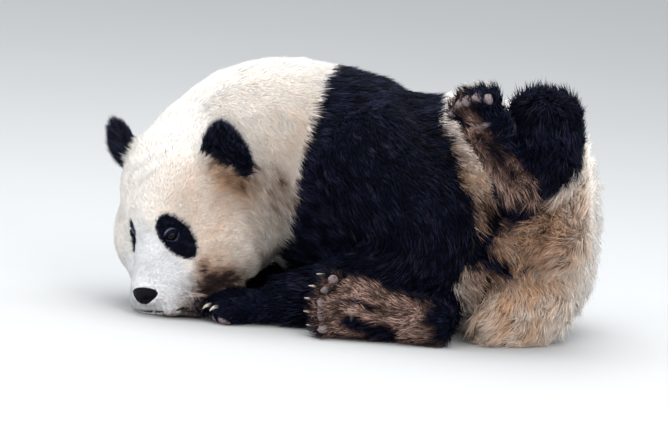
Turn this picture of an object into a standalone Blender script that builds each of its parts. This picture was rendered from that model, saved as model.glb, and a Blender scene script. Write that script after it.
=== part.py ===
"""Giant panda resting on its rump with the trunk curled forward and one hind leg raised.

The animal faces -X with its left flank towards -Y and the floor at Z = 0.  Every dimension below is
in centimetres and reaches to the tips of the coat.  The body is modelled whole from swept limbs and
rounded masses, fused, and then parted with thin cuts into head, neck, shoulders, trunk and legs.
"""

import math

import bmesh
import bpy
from mathutils import Matrix, Vector

CM = 0.01                     # metres in one centimetre
GAP = 0.035                   # clearance between neighbouring pieces

# --- working resolution -------------------------------------------------------------------------
BODY_VOXEL = 0.9              # remesh cell of head, neck and trunk
LIMB_VOXEL = 0.75             # remesh cell of the legs
FOOT_VOXEL = 0.5              # remesh cell of the feet
HEAD_DETAIL = 2150            # triangles on the fused body the head is parted from
TRUNK_DETAIL = 870            # triangles on the fused body the neck and trunk are parted from
ARM_FACES = 440
THIGH_FACES = 200
LEG_FACES = 300
FOOT_FACES = 320
TAIL_FACES = 170

# --- head ---------------------------------------------------------------------------------------
HEAD_CENTRE = (-31.8, -5.5, 17.8)
HEAD_FORWARD = (-0.477, -0.672, -0.566)   # occiput to nose
HEAD_LEFT = (0.746, -0.650, 0.146)        # right ear to left ear
HEAD_SCALE = 1.05
CRANIUM = ((-3.0, 0.0, 3.6), (12.6, 12.8, 11.6))
CHEEK = ((1.0, 6.8, -3.4), (10.4, 8.6, 9.4))
BROW = ((3.2, 0.0, 2.6), (9.2, 8.8, 9.2))
TEMPLE = ((-1.2, 5.4, 2.0), (9.8, 7.0, 8.6))
BRIDGE = ((8.2, 0.0, -0.6), (7.0, 5.6, 5.6))
JOWL = ((6.4, 5.2, -5.2), (7.2, 5.2, 5.6))
CHIN = ((12.2, 0.0, -9.6), (5.2, 4.4, 2.7))
LIP = ((14.6, 2.7, -6.6), (4.0, 3.4, 3.2))
EYE_SITE = (10.5, 4.3, 3.1)               # where the eye looks out, before it is set to the surface
EYE_RADIUS = 1.15
NOSE_SITE = (18.3, 0.0, -3.9)
NOSE_SIZE = (1.7, 2.8, 1.9)
EAR_ROOT = (-3.2, 10.3, 7.9)
EAR_DRAWN = 0.9                           # how much nearer to the crown the right ear is held
EAR_RISE = (0.15, 0.30, 0.93)             # root to tip of the left ear
EAR_FRONT = (0.90, 0.34, 0.05)            # the way its cup opens
EAR_SIZE = (1.9, 4.8, 6.1)                # half thickness, half width, half height
EAR_LIFT = 3.4
EAR_CUP = 1.5

# --- trunk and neck: centre, half width, half height -------------------------------------------
TRUNK_RINGS = (
    ((-15.0, 0.5, 27.0), 17.5, 18.4),
    ((-5.0, 1.2, 26.4), 19.0, 18.2),
    ((0.0, 1.6, 25.1), 19.5, 17.1),
    ((5.0, 2.0, 24.4), 20.0, 16.7),
    ((14.0, 2.0, 23.2), 21.2, 18.6),
    ((22.0, 1.0, 20.3), 22.0, 20.9),
    ((29.0, -0.6, 20.3), 21.4, 21.2),
    ((34.9, -2.0, 21.0), 17.2, 17.8),
)
RUMP_CAP = 0.33
NECK_RINGS = (
    ((-9.0, 1.2, 27.4), 17.0, 18.2),
    ((-18.0, 1.2, 28.0), 16.8, 17.8),
    ((-26.0, 0.6, 25.0), 15.4, 16.2),
    ((-33.5, -1.2, 21.4), 12.6, 13.0),
)
HEAD_CUT = ((-27.5, -3.5, 21.0), (-0.86, -0.30, -0.41))
NECK_CUT = ((-9.4, 0.0, 45.2), (-0.98, 0.16, 0.124))
SADDLE_CUT = ((10.0, 0.0, 40.0), (-1.0, -0.04, -0.06))

# --- forelegs: centre, half width, half height -------------------------------------------------
LEFT_ARM = (
    ((-4.5, -10.5, 32.0), 12.0, 9.4),
    ((1.0, -13.0, 26.5), 11.0, 9.4),
    ((11.8, -15.8, 18.0), 8.4, 8.4),
    ((3.5, -13.6, 11.0), 6.6, 6.8),
    ((-8.0, -13.2, 6.2), 5.6, 5.4),
    ((-15.0, -13.8, 4.2), 5.0, 4.3),
)
LEFT_PAW = ((-15.0, -13.8, 3.5), (-27.0, -15.6, 2.9), 4.9)
RIGHT_ARM = (
    ((-6.5, 11.0, 33.0), 10.5, 8.6),
    ((-4.5, 13.6, 24.0), 10.4, 8.8),
    ((1.0, 15.8, 14.5), 7.8, 7.8),
    ((-6.0, 16.0, 7.8), 6.4, 6.6),
    ((-14.0, 14.6, 5.2), 5.4, 5.0),
    ((-19.0, 13.4, 4.2), 5.0, 4.3),
)
RIGHT_PAW = ((-19.0, 13.4, 3.5), (-30.0, 10.0, 2.9), 4.9)
WRIST_CUT_LEFT = ((-15.6, 0.0, 0.0), (-1.0, 0.0, 0.0))
WRIST_CUT_RIGHT = ((-19.4, 0.0, 0.0), (-1.0, 0.0, 0.0))

# --- hind legs ----------------------------------------------------------------------------------
LEFT_THIGH = (
    ((28.5, -12.0, 18.5), 11.5, 9.0),
    ((29.0, -14.5, 27.0), 10.0, 10.0),
    ((29.2, -19.0, 36.0), 8.0, 8.6),
    ((28.6, -21.5, 43.2), 7.0, 7.2),
)
LEFT_SHIN = (
    ((28.4, -21.5, 43.0), 6.8, 6.8),
    ((29.4, -23.6, 34.0), 6.8, 6.2),
    ((26.6, -25.2, 30.0), 5.2, 5.0),
)
THIGH_CUT = ((29.0, 0.0, 27.5), (0.12, 0.35, -0.93))
LEFT_FOOT = ((25.4, -26.2, 29.4), (14.6, -27.6, 46.8), (-0.42, -0.90, -0.10), 4.9)
RIGHT_THIGH = (
    ((24.5, 11.0, 14.5), 13.0, 11.6),
    ((14.0, 13.2, 11.8), 11.0, 10.4),
    ((4.0, 11.4, 9.2), 8.8, 8.8),
)
RIGHT_SHIN = (
    ((4.0, 11.0, 8.8), 8.0, 8.4),
    ((8.0, -3.0, 6.6), 6.4, 6.4),
    ((12.6, -17.0, 5.2), 5.2, 5.2),
)
RIGHT_FOOT = ((13.2, -22.8, 3.9), (-9.5, -23.6, 6.6), (0.05, -1.0, 0.06), 5.7)

# --- feet, along a foot one unit long -----------------------------------------------------------
FOOT_STATIONS = ((0.0, 0.78, 0.60), (0.30, 0.80, 0.62), (0.62, 0.98, 0.60), (0.84, 1.0, 0.52))
TOE_COUNT = 5
TOE_SPREAD = 0.405            # spacing of the toes against the half width
TOE_SIZE = (2.3, 1.35, 1.8)
CLAW_LENGTH = 2.4
CLAW_RADIUS = 0.45
PAD_SIZE = (1.5, 1.15, 0.8)
BALL_PAD_SIZE = (1.9, 3.9, 0.9)

# --- tail ---------------------------------------------------------------------------------------
TAIL_RINGS = (
    ((33.4, -7.6, 9.2), 5.2, 8.0),
    ((29.6, -12.2, 7.6), 5.2, 8.0),
    ((25.0, -15.8, 5.8), 4.8, 6.5),
    ((21.6, -17.6, 4.0), 3.4, 4.2),
)

# --- coats --------------------------------------------------------------------------------------
FINISHES = {
    "head": (0.83, 0.78, 0.68),
    "neck": (0.86, 0.82, 0.72),
    "trunk": (0.80, 0.70, 0.56),
    "tail": (0.80, 0.68, 0.52),
    "shoulders": (0.018, 0.018, 0.022),
    "leg": (0.020, 0.019, 0.022),
    "foot": (0.090, 0.060, 0.045),
    "ear": (0.016, 0.015, 0.020),
    "nose": (0.014, 0.012, 0.013),
    "eye": (0.010, 0.008, 0.008),
}


def clear_scene():
    """Empty the scene of everything it starts with."""
    for item in list(bpy.data.objects):
        bpy.data.objects.remove(item, do_unlink=True)


def turn_outwards(bm):
    """Make the faces of a closed body agree and point outwards."""
    bmesh.ops.recalc_face_normals(bm, faces=bm.faces)
    if bm.calc_volume(signed=True) < 0.0:
        bmesh.ops.reverse_faces(bm, faces=bm.faces)
    bm.normal_update()


def new_object(name, bm):
    """Link a mesh object holding the given geometry and return it."""
    turn_outwards(bm)
    mesh = bpy.data.meshes.new(name)
    bm.to_mesh(mesh)
    bm.free()
    item = bpy.data.objects.new(name, mesh)
    bpy.context.scene.collection.objects.link(item)
    return item


def axes_frame(origin, forward, side):
    """Frame whose X runs forward, Y to the given side and Z square to both."""
    x_axis = Vector(forward).normalized()
    z_axis = x_axis.cross(Vector(side)).normalized()
    y_axis = z_axis.cross(x_axis)
    frame = Matrix((x_axis, y_axis, z_axis)).transposed().to_4x4()
    frame.translation = Vector(origin)
    return frame


def between(values, t):
    """Smooth Catmull-Rom value at t along equally spaced values."""
    last = len(values) - 1
    i = min(int(t), last - 1)
    f = t - i
    a = values[max(i - 1, 0)]
    b = values[i]
    c = values[i + 1]
    d = values[min(i + 2, last)]
    smooth = (c - a) * f + (a * 2 - b * 5 + c * 4 - d) * f ** 2 + (b * 3 - a - c * 3 + d) * f ** 3
    return b + smooth * 0.5


def sweep(rings, up, cap=0.55, steps=4, segments=20):
    """Closed body swept through rings of (centre, half width, half height) with rounded ends."""
    centres = [Vector(ring[0]) for ring in rings]
    widths = [ring[1] for ring in rings]
    heights = [ring[2] for ring in rings]
    last = len(rings) - 1
    count = last * steps
    path = []
    for k in range(count + 1):
        t = k / steps
        ahead = between(centres, min(t + 0.05, last))
        behind = between(centres, max(t - 0.05, 0.0))
        path.append((between(centres, t), ahead - behind, between(widths, t), between(heights, t)))
    head, tail = path[0], path[-1]
    before = []
    after = []
    for angle in (75, 50, 25):
        reach = cap * math.sin(math.radians(angle))
        shrink = math.cos(math.radians(angle))
        back = head[1].normalized() * (reach * min(head[2], head[3]))
        before.append((head[0] - back, head[1], head[2] * shrink, head[3] * shrink))
        front = tail[1].normalized() * (reach * min(tail[2], tail[3]))
        after.insert(0, (tail[0] + front, tail[1], tail[2] * shrink, tail[3] * shrink))
    bm = bmesh.new()
    loops = []
    for centre, tangent, width, height in before + path + after:
        side = tangent.cross(Vector(up)).normalized()
        top = side.cross(tangent).normalized()
        loop = []
        for k in range(segments):
            angle = 2 * math.pi * k / segments
            offset = side * (width * math.cos(angle)) + top * (height * math.sin(angle))
            loop.append(bm.verts.new(centre + offset))
        loops.append(loop)
    for low, high in zip(loops, loops[1:]):
        for k in range(segments):
            m = (k + 1) % segments
            bm.faces.new((low[k], low[m], high[m], high[k]))
    bm.faces.new(loops[0][::-1])
    bm.faces.new(loops[-1])
    return bm


def ball(centre, size, frame=None, segments=20, rings=12):
    """Ellipsoid with the given half sizes, placed in a frame."""
    bm = bmesh.new()
    bmesh.ops.create_uvsphere(bm, u_segments=segments, v_segments=rings, radius=1.0)
    place = Matrix.Translation(Vector(centre)) @ Matrix.Diagonal(Vector(size)).to_4x4()
    bm.transform((frame or Matrix.Identity(4)) @ place)
    return bm


def join(pieces):
    """One bmesh holding all the given ones."""
    whole = bmesh.new()
    for piece in pieces:
        mesh = bpy.data.meshes.new("loose")
        piece.to_mesh(mesh)
        piece.free()
        whole.from_mesh(mesh)
        bpy.data.meshes.remove(mesh)
    return whole


def bake(item):
    """Replace an object's mesh by its evaluated one and drop its modifiers."""
    graph = bpy.context.evaluated_depsgraph_get()
    graph.update()
    mesh = bpy.data.meshes.new_from_object(item.evaluated_get(graph))
    item.modifiers.clear()
    old = item.data
    item.data = mesh
    bpy.data.meshes.remove(old)
    return item


def fuse(name, pieces, voxel, smooth, faces):
    """Fuse overlapping bodies into one rounded skin of about the given number of triangles."""
    item = new_object(name, join(pieces))
    remesh = item.modifiers.new("fuse", "REMESH")
    remesh.mode = "VOXEL"
    remesh.voxel_size = voxel
    soften = item.modifiers.new("soften", "SMOOTH")
    soften.factor = 0.5
    soften.iterations = smooth
    bake(item)
    turn = item.modifiers.new("turn", "TRIANGULATE")
    turn.quad_method = "FIXED"
    bake(item)
    thin = item.modifiers.new("thin", "DECIMATE")
    thin.ratio = min(1.0, faces / len(item.data.polygons))
    thin.use_collapse_triangulate = True
    return bake(item)


def copy_of(item, name, grow=0.0):
    """Copy an object, its skin moved outwards by grow."""
    bm = bmesh.new()
    bm.from_mesh(item.data)
    bm.normal_update()
    shifts = [(vert, vert.normal.copy()) for vert in bm.verts]
    for vert, normal in shifts:
        vert.co += normal * grow
    return new_object(name, bm)


def combine(item, tool, operation):
    """Apply an exact Boolean with the tool, which is used up."""
    step = item.modifiers.new("combine", "BOOLEAN")
    step.operation = operation
    step.solver = "EXACT"
    step.object = tool
    bake(item)
    bpy.data.objects.remove(tool, do_unlink=True)
    return item


def boxes_meet(first, second):
    """Whether the bounding boxes of two objects overlap."""
    for axis in range(3):
        a = [vert.co[axis] for vert in first.data.vertices]
        b = [vert.co[axis] for vert in second.data.vertices]
        if max(a) + GAP < min(b) or max(b) + GAP < min(a):
            return False
    return True


def make_room(item, rooms):
    """Carve clearance for neighbouring pieces out of an object."""
    for room in rooms:
        if boxes_meet(item, room):
            combine(item, copy_of(room, "room_copy"), "DIFFERENCE")


def room_of(item):
    """The space a whole piece takes with its clearance, kept for carving its neighbours."""
    return copy_of(item, item.name + "_room", GAP)


def slice_off(item, point, normal, name=None):
    """Trim what lies beyond a plane; with a name the far side comes back as its own object."""
    direction = Vector(normal).normalized()
    far = None
    if name:
        far = copy_of(item, name)
        trim(far, Vector(point) + direction * GAP * 0.5, -direction)
    trim(item, Vector(point) - direction * (GAP * 0.5 if name else 0.0), direction)
    return far


def trim(item, point, normal):
    """Cut away the side of the plane its normal points to and close the cut flat."""
    bm = bmesh.new()
    bm.from_mesh(item.data)
    everything = bm.verts[:] + bm.edges[:] + bm.faces[:]
    result = bmesh.ops.bisect_plane(
        bm, geom=everything, dist=0.00005, plane_co=point, plane_no=normal, clear_outer=True
    )
    rim = [part for part in result["geom_cut"] if isinstance(part, bmesh.types.BMEdge)]
    rim = [edge for edge in rim if edge.is_boundary]
    if rim:
        bmesh.ops.triangle_fill(bm, use_beauty=True, use_dissolve=False, edges=rim, normal=normal)
    bmesh.ops.dissolve_degenerate(bm, dist=0.00005, edges=bm.edges)
    bmesh.ops.triangulate(bm, faces=bm.faces)
    turn_outwards(bm)
    bm.to_mesh(item.data)
    bm.free()


def stand_on_floor(items):
    """Trim every piece that dips below the floor to a flat at Z = 0."""
    for item in items:
        if min(vert.co.z for vert in item.data.vertices) < 0.0:
            trim(item, Vector((0.0, 0.0, 0.0)), Vector((0.0, 0.0, -1.0)))


def mirrored(site):
    """The same site on the right side of the head."""
    return (site[0], -site[1], site[2])


def head_frame():
    """Frame of the head: X to the nose, Y to the left ear, Z to the crown."""
    frame = axes_frame(HEAD_CENTRE, HEAD_FORWARD, HEAD_LEFT)
    return frame @ Matrix.Scale(HEAD_SCALE, 4)


def head_masses(frame):
    """Cranium, brow, cheeks, muzzle, lips and chin."""
    masses = [ball(*mass, frame) for mass in (CRANIUM, BROW, BRIDGE, CHIN)]
    for centre, size in (TEMPLE, CHEEK, JOWL, LIP):
        masses.append(ball(centre, size, frame))
        masses.append(ball(mirrored(centre), size, frame))
    muzzle = sweep(
        (
            ((4.0, 0.0, -2.6), 8.6, 7.6),
            ((9.0, 0.0, -3.8), 7.3, 6.2),
            ((13.5, 0.0, -4.9), 6.1, 4.9),
            ((16.6, 0.0, -5.3), 4.9, 4.0),
        ),
        (0.0, 0.0, 1.0),
    )
    muzzle.transform(frame)
    masses.append(muzzle)
    return masses


def surface_point(item, site, inward):
    """First point of an object's surface met when looking inwards at a site."""
    start = site - inward * 10.0
    hit, point, _, _ = item.ray_cast(start, inward)
    return point if hit else site


def make_eye(name, head, frame, site):
    """Eyeball set into the face so that its front shows."""
    turn = frame.to_3x3().normalized()
    outward = (turn @ Vector((0.80, 0.60 if site[1] > 0 else -0.60, 0.05))).normalized()
    spot = surface_point(head, frame @ Vector(site), -outward)
    centre = spot - outward * (EYE_RADIUS * 0.55)
    sphere = ball((0.0, 0.0, 0.0), (EYE_RADIUS,) * 3, Matrix.Translation(centre), 12, 8)
    return new_object(name, sphere)


def make_nose(head, frame):
    """Bare nose pad at the tip of the muzzle."""
    turn = frame.to_3x3().normalized()
    forward = (turn @ Vector((0.93, 0.0, 0.37))).normalized()
    spot = surface_point(head, frame @ Vector(NOSE_SITE), -forward)
    pad = turn.to_4x4()
    pad.translation = spot - forward * (NOSE_SIZE[0] * 0.45)
    return new_object("nose", ball((0.0, 0.0, 0.0), NOSE_SIZE, pad, 12, 8))


def make_ear(name, frame, side):
    """Rounded cupped ear flap, its root sunk in the crown."""
    turn = frame.to_3x3().normalized()
    rise = turn @ Vector((EAR_RISE[0], side * EAR_RISE[1], EAR_RISE[2])).normalized()
    front = turn @ Vector((EAR_FRONT[0], side * EAR_FRONT[1], EAR_FRONT[2])).normalized()
    drawn = EAR_DRAWN if side < 0.0 else 0.0
    root = frame @ Vector((EAR_ROOT[0], side * (EAR_ROOT[1] - drawn), EAR_ROOT[2]))
    flap = ball((0.0, 0.0, 0.0), (1.0, 1.0, 1.0), None, 12, 8)
    for vert in flap.verts:
        depth, across, tall = vert.co
        taper = 1.0 - 0.22 * tall - 0.10 * tall * tall
        cupped = depth * EAR_SIZE[0] * (1.0 - 0.25 * tall) + EAR_CUP * (across * across - 0.3)
        vert.co = (cupped, across * EAR_SIZE[1] * taper, tall * EAR_SIZE[2])
    place = axes_frame(root + rise * EAR_LIFT, front, rise.cross(front))
    flap.transform(place)
    return new_object(name, flap)


def foot_frame(heel, toes, sole):
    """Frame of a foot: X heel to toes, Z out of the back of the foot."""
    forward = Vector(toes) - Vector(heel)
    back = -Vector(sole)
    side = back.cross(forward)
    return axes_frame(heel, forward, side), forward.length


def foot_masses(heel, toes, sole, half_width):
    """Body, toes and pads of a foot with its sole facing the given way."""
    frame, length = foot_frame(heel, toes, sole)
    rings = []
    for along, wide, thick in FOOT_STATIONS:
        rings.append(((along * length, 0.0, 0.0), wide * half_width, thick * half_width))
    body = sweep(rings, (0.0, 0.0, 1.0), cap=0.8)
    body.transform(frame)
    masses = [body]
    for along, across in toe_sites(length, half_width):
        masses.append(ball((along, across, 0.0), TOE_SIZE, frame))
        pad = (along + 0.2, across, -0.50 * half_width)
        masses.append(ball(pad, PAD_SIZE, frame))
    masses.append(ball((0.68 * length, 0.0, -0.50 * half_width), BALL_PAD_SIZE, frame))
    return masses


def toe_sites(length, half_width):
    """Where the toes sit on the front edge of a foot, the middle one furthest out."""
    sites = []
    for k in range(TOE_COUNT):
        place = k - (TOE_COUNT - 1) / 2
        sites.append((length * 0.93 - 0.32 * place * place, place * TOE_SPREAD * half_width))
    return sites


def claws(heel, toes, sole, half_width):
    """Five tapering claws that leave the toes and dip towards the sole."""
    frame, length = foot_frame(heel, toes, sole)
    spikes = []
    for along, across in toe_sites(length, half_width):
        spike = bmesh.new()
        bmesh.ops.create_cone(
            spike,
            cap_ends=True,
            segments=6,
            radius1=CLAW_RADIUS,
            radius2=0.09,
            depth=CLAW_LENGTH,
        )
        lean = Matrix.Rotation(math.radians(104), 4, "Y")
        shift = Matrix.Translation((along + 2.1 + 0.3 * CLAW_LENGTH, across, 0.2))
        spike.transform(frame @ shift @ lean)
        spikes.append(spike)
    return join(spikes)


def make_foot(name, heel, toes, sole, half_width):
    """Whole hind foot with its claws."""
    foot = fuse(name, foot_masses(heel, toes, sole, half_width), FOOT_VOXEL, 3, FOOT_FACES)
    spikes = new_object("claws", claws(heel, toes, sole, half_width))
    return combine(foot, spikes, "UNION")


def make_foreleg(side, rings, paw, cut):
    """Foreleg swept from shoulder to wrist, its paw parted at the wrist, and the room it takes."""
    heel, toes, half_width = paw
    sole = (0.0, 0.0, -1.0)
    arm = sweep(rings, (0.0, 1.0, 0.25))
    masses = [arm] + foot_masses(heel, toes, sole, half_width)
    leg = fuse("foreleg_" + side, masses, LIMB_VOXEL, 4, ARM_FACES)
    room = room_of(leg)
    hand = slice_off(leg, *cut, "forepaw_" + side)
    spikes = new_object("claws", claws(heel, toes, sole, half_width))
    return leg, combine(hand, spikes, "UNION"), room


def make_body(frame):
    """Head, neck and trunk fused, then parted into head, neck, shoulders and trunk."""
    fused = []
    for name, faces in (("head_side", HEAD_DETAIL), ("trunk", TRUNK_DETAIL)):
        masses = head_masses(frame)
        masses.append(sweep(TRUNK_RINGS, (0.0, 0.0, 1.0), cap=RUMP_CAP, segments=28))
        masses.append(sweep(NECK_RINGS, (0.0, 0.0, 1.0), segments=28))
        fused.append(fuse(name, masses, BODY_VOXEL, 8, faces))
    source, trunk = fused
    head = slice_off(source, *HEAD_CUT, "head")
    bpy.data.objects.remove(source, do_unlink=True)
    slice_off(trunk, Vector(HEAD_CUT[0]) - Vector(HEAD_CUT[1]) * GAP, HEAD_CUT[1])
    neck = slice_off(trunk, *NECK_CUT, "neck")
    shoulders = slice_off(trunk, *SADDLE_CUT, "shoulders")
    return head, neck, shoulders, trunk


def make_leg(name, faces, *runs):
    """Hind leg fused from its thigh and shin."""
    masses = [sweep(run, (0.3, 1.0, 0.2)) for run in runs]
    return fuse(name, masses, LIMB_VOXEL, 4, faces)


def finish(item, kind, roughness=0.85):
    """Give a piece its own plain coat colour."""
    material = bpy.data.materials.new(item.name + "_finish")
    material.use_nodes = True
    shader = material.node_tree.nodes["Principled BSDF"]
    shader.inputs["Base Color"].default_value = (*FINISHES[kind], 1.0)
    shader.inputs["Roughness"].default_value = roughness
    item.data.materials.clear()
    item.data.materials.append(material)


def linked_verts(start):
    """All vertices joined to the given one by edges."""
    found = {start}
    waiting = [start]
    while waiting:
        for edge in waiting.pop().link_edges:
            for vert in edge.verts:
                if vert not in found:
                    found.add(vert)
                    waiting.append(vert)
    return found


def tidy(item):
    """Keep the main body of a piece, triangulate it and turn its faces outwards."""
    bm = bmesh.new()
    bm.from_mesh(item.data)
    bmesh.ops.remove_doubles(bm, verts=bm.verts, dist=0.0001)
    bmesh.ops.dissolve_degenerate(bm, dist=0.0001, edges=bm.edges)
    bodies = []
    left = set(bm.verts)
    while left:
        body = linked_verts(next(iter(left)))
        left -= body
        bodies.append(body)
    bodies.sort(key=len)
    for crumb in bodies[:-1]:
        bmesh.ops.delete(bm, geom=list(crumb), context="VERTS")
    bmesh.ops.triangulate(bm, faces=bm.faces)
    turn_outwards(bm)
    bm.to_mesh(item.data)
    bm.free()
    item.data.name = item.name


def settle(items):
    """Centre the animal over the origin and turn centimetres into metres."""
    corners = [vert.co for item in items for vert in item.data.vertices]
    middle_x = (min(co.x for co in corners) + max(co.x for co in corners)) * 0.5
    middle_y = (min(co.y for co in corners) + max(co.y for co in corners)) * 0.5
    move = Matrix.Scale(CM, 4) @ Matrix.Translation((-middle_x, -middle_y, 0.0))
    for item in items:
        item.data.transform(move)
        item.data.update()
    print("settled by", round(-middle_x, 3), round(-middle_y, 3))


def main():
    """Build every node of the panda."""
    clear_scene()
    frame = head_frame()
    head, neck, shoulders, trunk = make_body(frame)
    eyes = [
        make_eye("eye_left", head, frame, EYE_SITE),
        make_eye("eye_right", head, frame, mirrored(EYE_SITE)),
    ]
    nose = make_nose(head, frame)
    ears = [make_ear("ear_left", frame, 1.0), make_ear("ear_right", frame, -1.0)]
    left_arm, left_hand, left_arm_room = make_foreleg("left", LEFT_ARM, LEFT_PAW, WRIST_CUT_LEFT)
    right_arm, right_hand, right_arm_room = make_foreleg(
        "right", RIGHT_ARM, RIGHT_PAW, WRIST_CUT_RIGHT
    )
    feet = [make_foot("hind_foot_left", *LEFT_FOOT), make_foot("hind_foot_right", *RIGHT_FOOT)]
    foot_rooms = [room_of(foot) for foot in feet]
    left_leg = make_leg("hind_leg_left", LEG_FACES + THIGH_FACES, LEFT_THIGH, LEFT_SHIN)
    right_leg = make_leg("hind_leg_right", LEG_FACES, RIGHT_THIGH, RIGHT_SHIN)
    leg_rooms = [room_of(left_leg), room_of(right_leg)]
    left_thigh = slice_off(left_leg, *THIGH_CUT, "thigh_left")
    tail = fuse("tail", [sweep(TAIL_RINGS, (0.0, 0.0, 1.0))], LIMB_VOXEL, 3, TAIL_FACES)
    tail_room = room_of(tail)
    face_rooms = [room_of(piece) for piece in (nose, *ears, *eyes)]

    make_room(left_leg, [foot_rooms[0]])
    make_room(right_leg, [foot_rooms[1]])
    make_room(tail, leg_rooms)
    for piece in (left_arm, right_arm, left_hand):
        make_room(piece, [*leg_rooms, *foot_rooms])
    hand_rooms = [room_of(left_hand), room_of(right_hand)]
    arm_rooms = [left_arm_room, right_arm_room, *hand_rooms]
    for piece in (neck, shoulders, trunk):
        make_room(piece, [*arm_rooms, *leg_rooms, *foot_rooms, tail_room])
    make_room(head, [*arm_rooms, *face_rooms])
    make_room(neck, face_rooms)
    for room in [*arm_rooms, *leg_rooms, *foot_rooms, *face_rooms, tail_room]:
        bpy.data.objects.remove(room, do_unlink=True)

    coats = {
        "head": [head],
        "neck": [neck],
        "shoulders": [shoulders],
        "trunk": [trunk, left_thigh],
        "tail": [tail],
        "leg": [left_arm, right_arm, left_leg, right_leg],
        "foot": [left_hand, right_hand, *feet],
        "ear": ears,
    }
    nodes = [nose, *eyes]
    for kind, pieces in coats.items():
        nodes.extend(pieces)
        for piece in pieces:
            finish(piece, kind)
    finish(nose, "nose", 0.45)
    for eye in eyes:
        finish(eye, "eye", 0.08)
    stand_on_floor(nodes)
    for node in nodes:
        tidy(node)
    settle(nodes)


main()
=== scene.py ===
"""Looks of a resting giant panda.

One skin stands for all the nodes of flesh and lies inside them by the depth of the coat.  The coat is
made of solid tufts that grow from the skin and follow the lie of the hair.  Skin and coat read the
same markings.  Eyes, nose and claws are pieces of their own.
"""

import functools
import logging
import math
from collections.abc import Iterator
from contextlib import contextmanager
from dataclasses import dataclass, field
from enum import Enum

import bmesh
import bpy
import numpy as np
from bmesh.types import BMesh
from bpy.types import Material, Mesh, Node, NodeSocket, NodeTree, Object
from mathutils import Matrix, Vector
from mathutils.bvhtree import BVHTree


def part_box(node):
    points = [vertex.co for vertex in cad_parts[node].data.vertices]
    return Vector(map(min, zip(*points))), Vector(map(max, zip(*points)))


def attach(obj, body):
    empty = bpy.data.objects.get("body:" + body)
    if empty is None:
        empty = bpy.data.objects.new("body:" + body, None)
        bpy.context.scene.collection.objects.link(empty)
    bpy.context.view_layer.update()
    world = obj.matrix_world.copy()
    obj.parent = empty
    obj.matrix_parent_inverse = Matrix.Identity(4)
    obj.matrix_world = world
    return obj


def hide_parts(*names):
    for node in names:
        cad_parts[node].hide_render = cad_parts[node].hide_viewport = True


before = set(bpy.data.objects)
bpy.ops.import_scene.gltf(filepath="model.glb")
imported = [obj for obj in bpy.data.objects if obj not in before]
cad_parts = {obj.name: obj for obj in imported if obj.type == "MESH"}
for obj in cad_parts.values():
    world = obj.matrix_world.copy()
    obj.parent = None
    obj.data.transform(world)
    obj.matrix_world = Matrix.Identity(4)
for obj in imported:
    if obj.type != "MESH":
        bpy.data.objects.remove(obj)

log = logging.getLogger("panda")

CM = 0.01
SETTLED = (2.920, 4.313)   # how far the modelled animal was moved, in centimetres, to centre it
FAR = 99.0   # a place beyond the ends of the head, in its own coordinates
Triple = tuple[float, float, float]


def spot(point: Triple) -> np.ndarray:
    """Turn a point of the animal's design, in centimetres, into metres in the row frame."""
    return np.array((point[0] + SETTLED[0], point[1] + SETTLED[1], point[2])) * CM


def unit(vectors: np.ndarray) -> np.ndarray:
    """Scale one vector or rows of vectors to length one."""
    return vectors / np.maximum(np.linalg.norm(vectors, axis=-1, keepdims=True), 1e-9)


def ease(values: np.ndarray, low: float, high: float) -> np.ndarray:
    """Smooth step from 0 at low to 1 at high."""
    t = np.clip((values - low) / (high - low), 0.0, 1.0)
    return t * t * (3.0 - 2.0 * t)


def off_line(points: np.ndarray, start: tuple | np.ndarray, end: tuple | np.ndarray) -> np.ndarray:
    """Offsets of points from the nearest places of a straight run between two ends."""
    step = np.subtract(end, start)
    t = np.clip(((points - start) @ step) / (step @ step), 0.0, 1.0)
    return points - (start + t[:, None] * step)


class Flesh(Enum):
    """The nodes of flesh that the skin stands for."""

    HEAD = "head"
    NECK = "neck"
    SHOULDERS = "shoulders"
    TRUNK = "trunk"
    TAIL = "tail"
    THIGH = "thigh_left"
    EAR_LEFT = "ear_left"
    EAR_RIGHT = "ear_right"
    ARM_LEFT = "foreleg_left"
    ARM_RIGHT = "foreleg_right"
    PAW_LEFT = "forepaw_left"
    PAW_RIGHT = "forepaw_right"
    LEG_LEFT = "hind_leg_left"
    LEG_RIGHT = "hind_leg_right"
    FOOT_LEFT = "hind_foot_left"
    FOOT_RIGHT = "hind_foot_right"


EARS = (Flesh.EAR_LEFT, Flesh.EAR_RIGHT)
ARMS = (Flesh.ARM_LEFT, Flesh.ARM_RIGHT)
PAWS = (Flesh.PAW_LEFT, Flesh.PAW_RIGHT)
HIND_FEET = (Flesh.FOOT_LEFT, Flesh.FOOT_RIGHT)


def in_parts(region: np.ndarray, *parts: Flesh) -> np.ndarray:
    """Which vertices, by the numbers of their nodes, belong to the given nodes of flesh."""
    return np.isin(region, [list(Flesh).index(part) for part in parts])


@dataclass(frozen=True)
class Coat:
    """How the hair of one region grows, in metres, degrees and tufts for each square metre."""

    length: float
    depth: float
    width: float
    lift: float
    density: float
    black: float = 0.0


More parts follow.
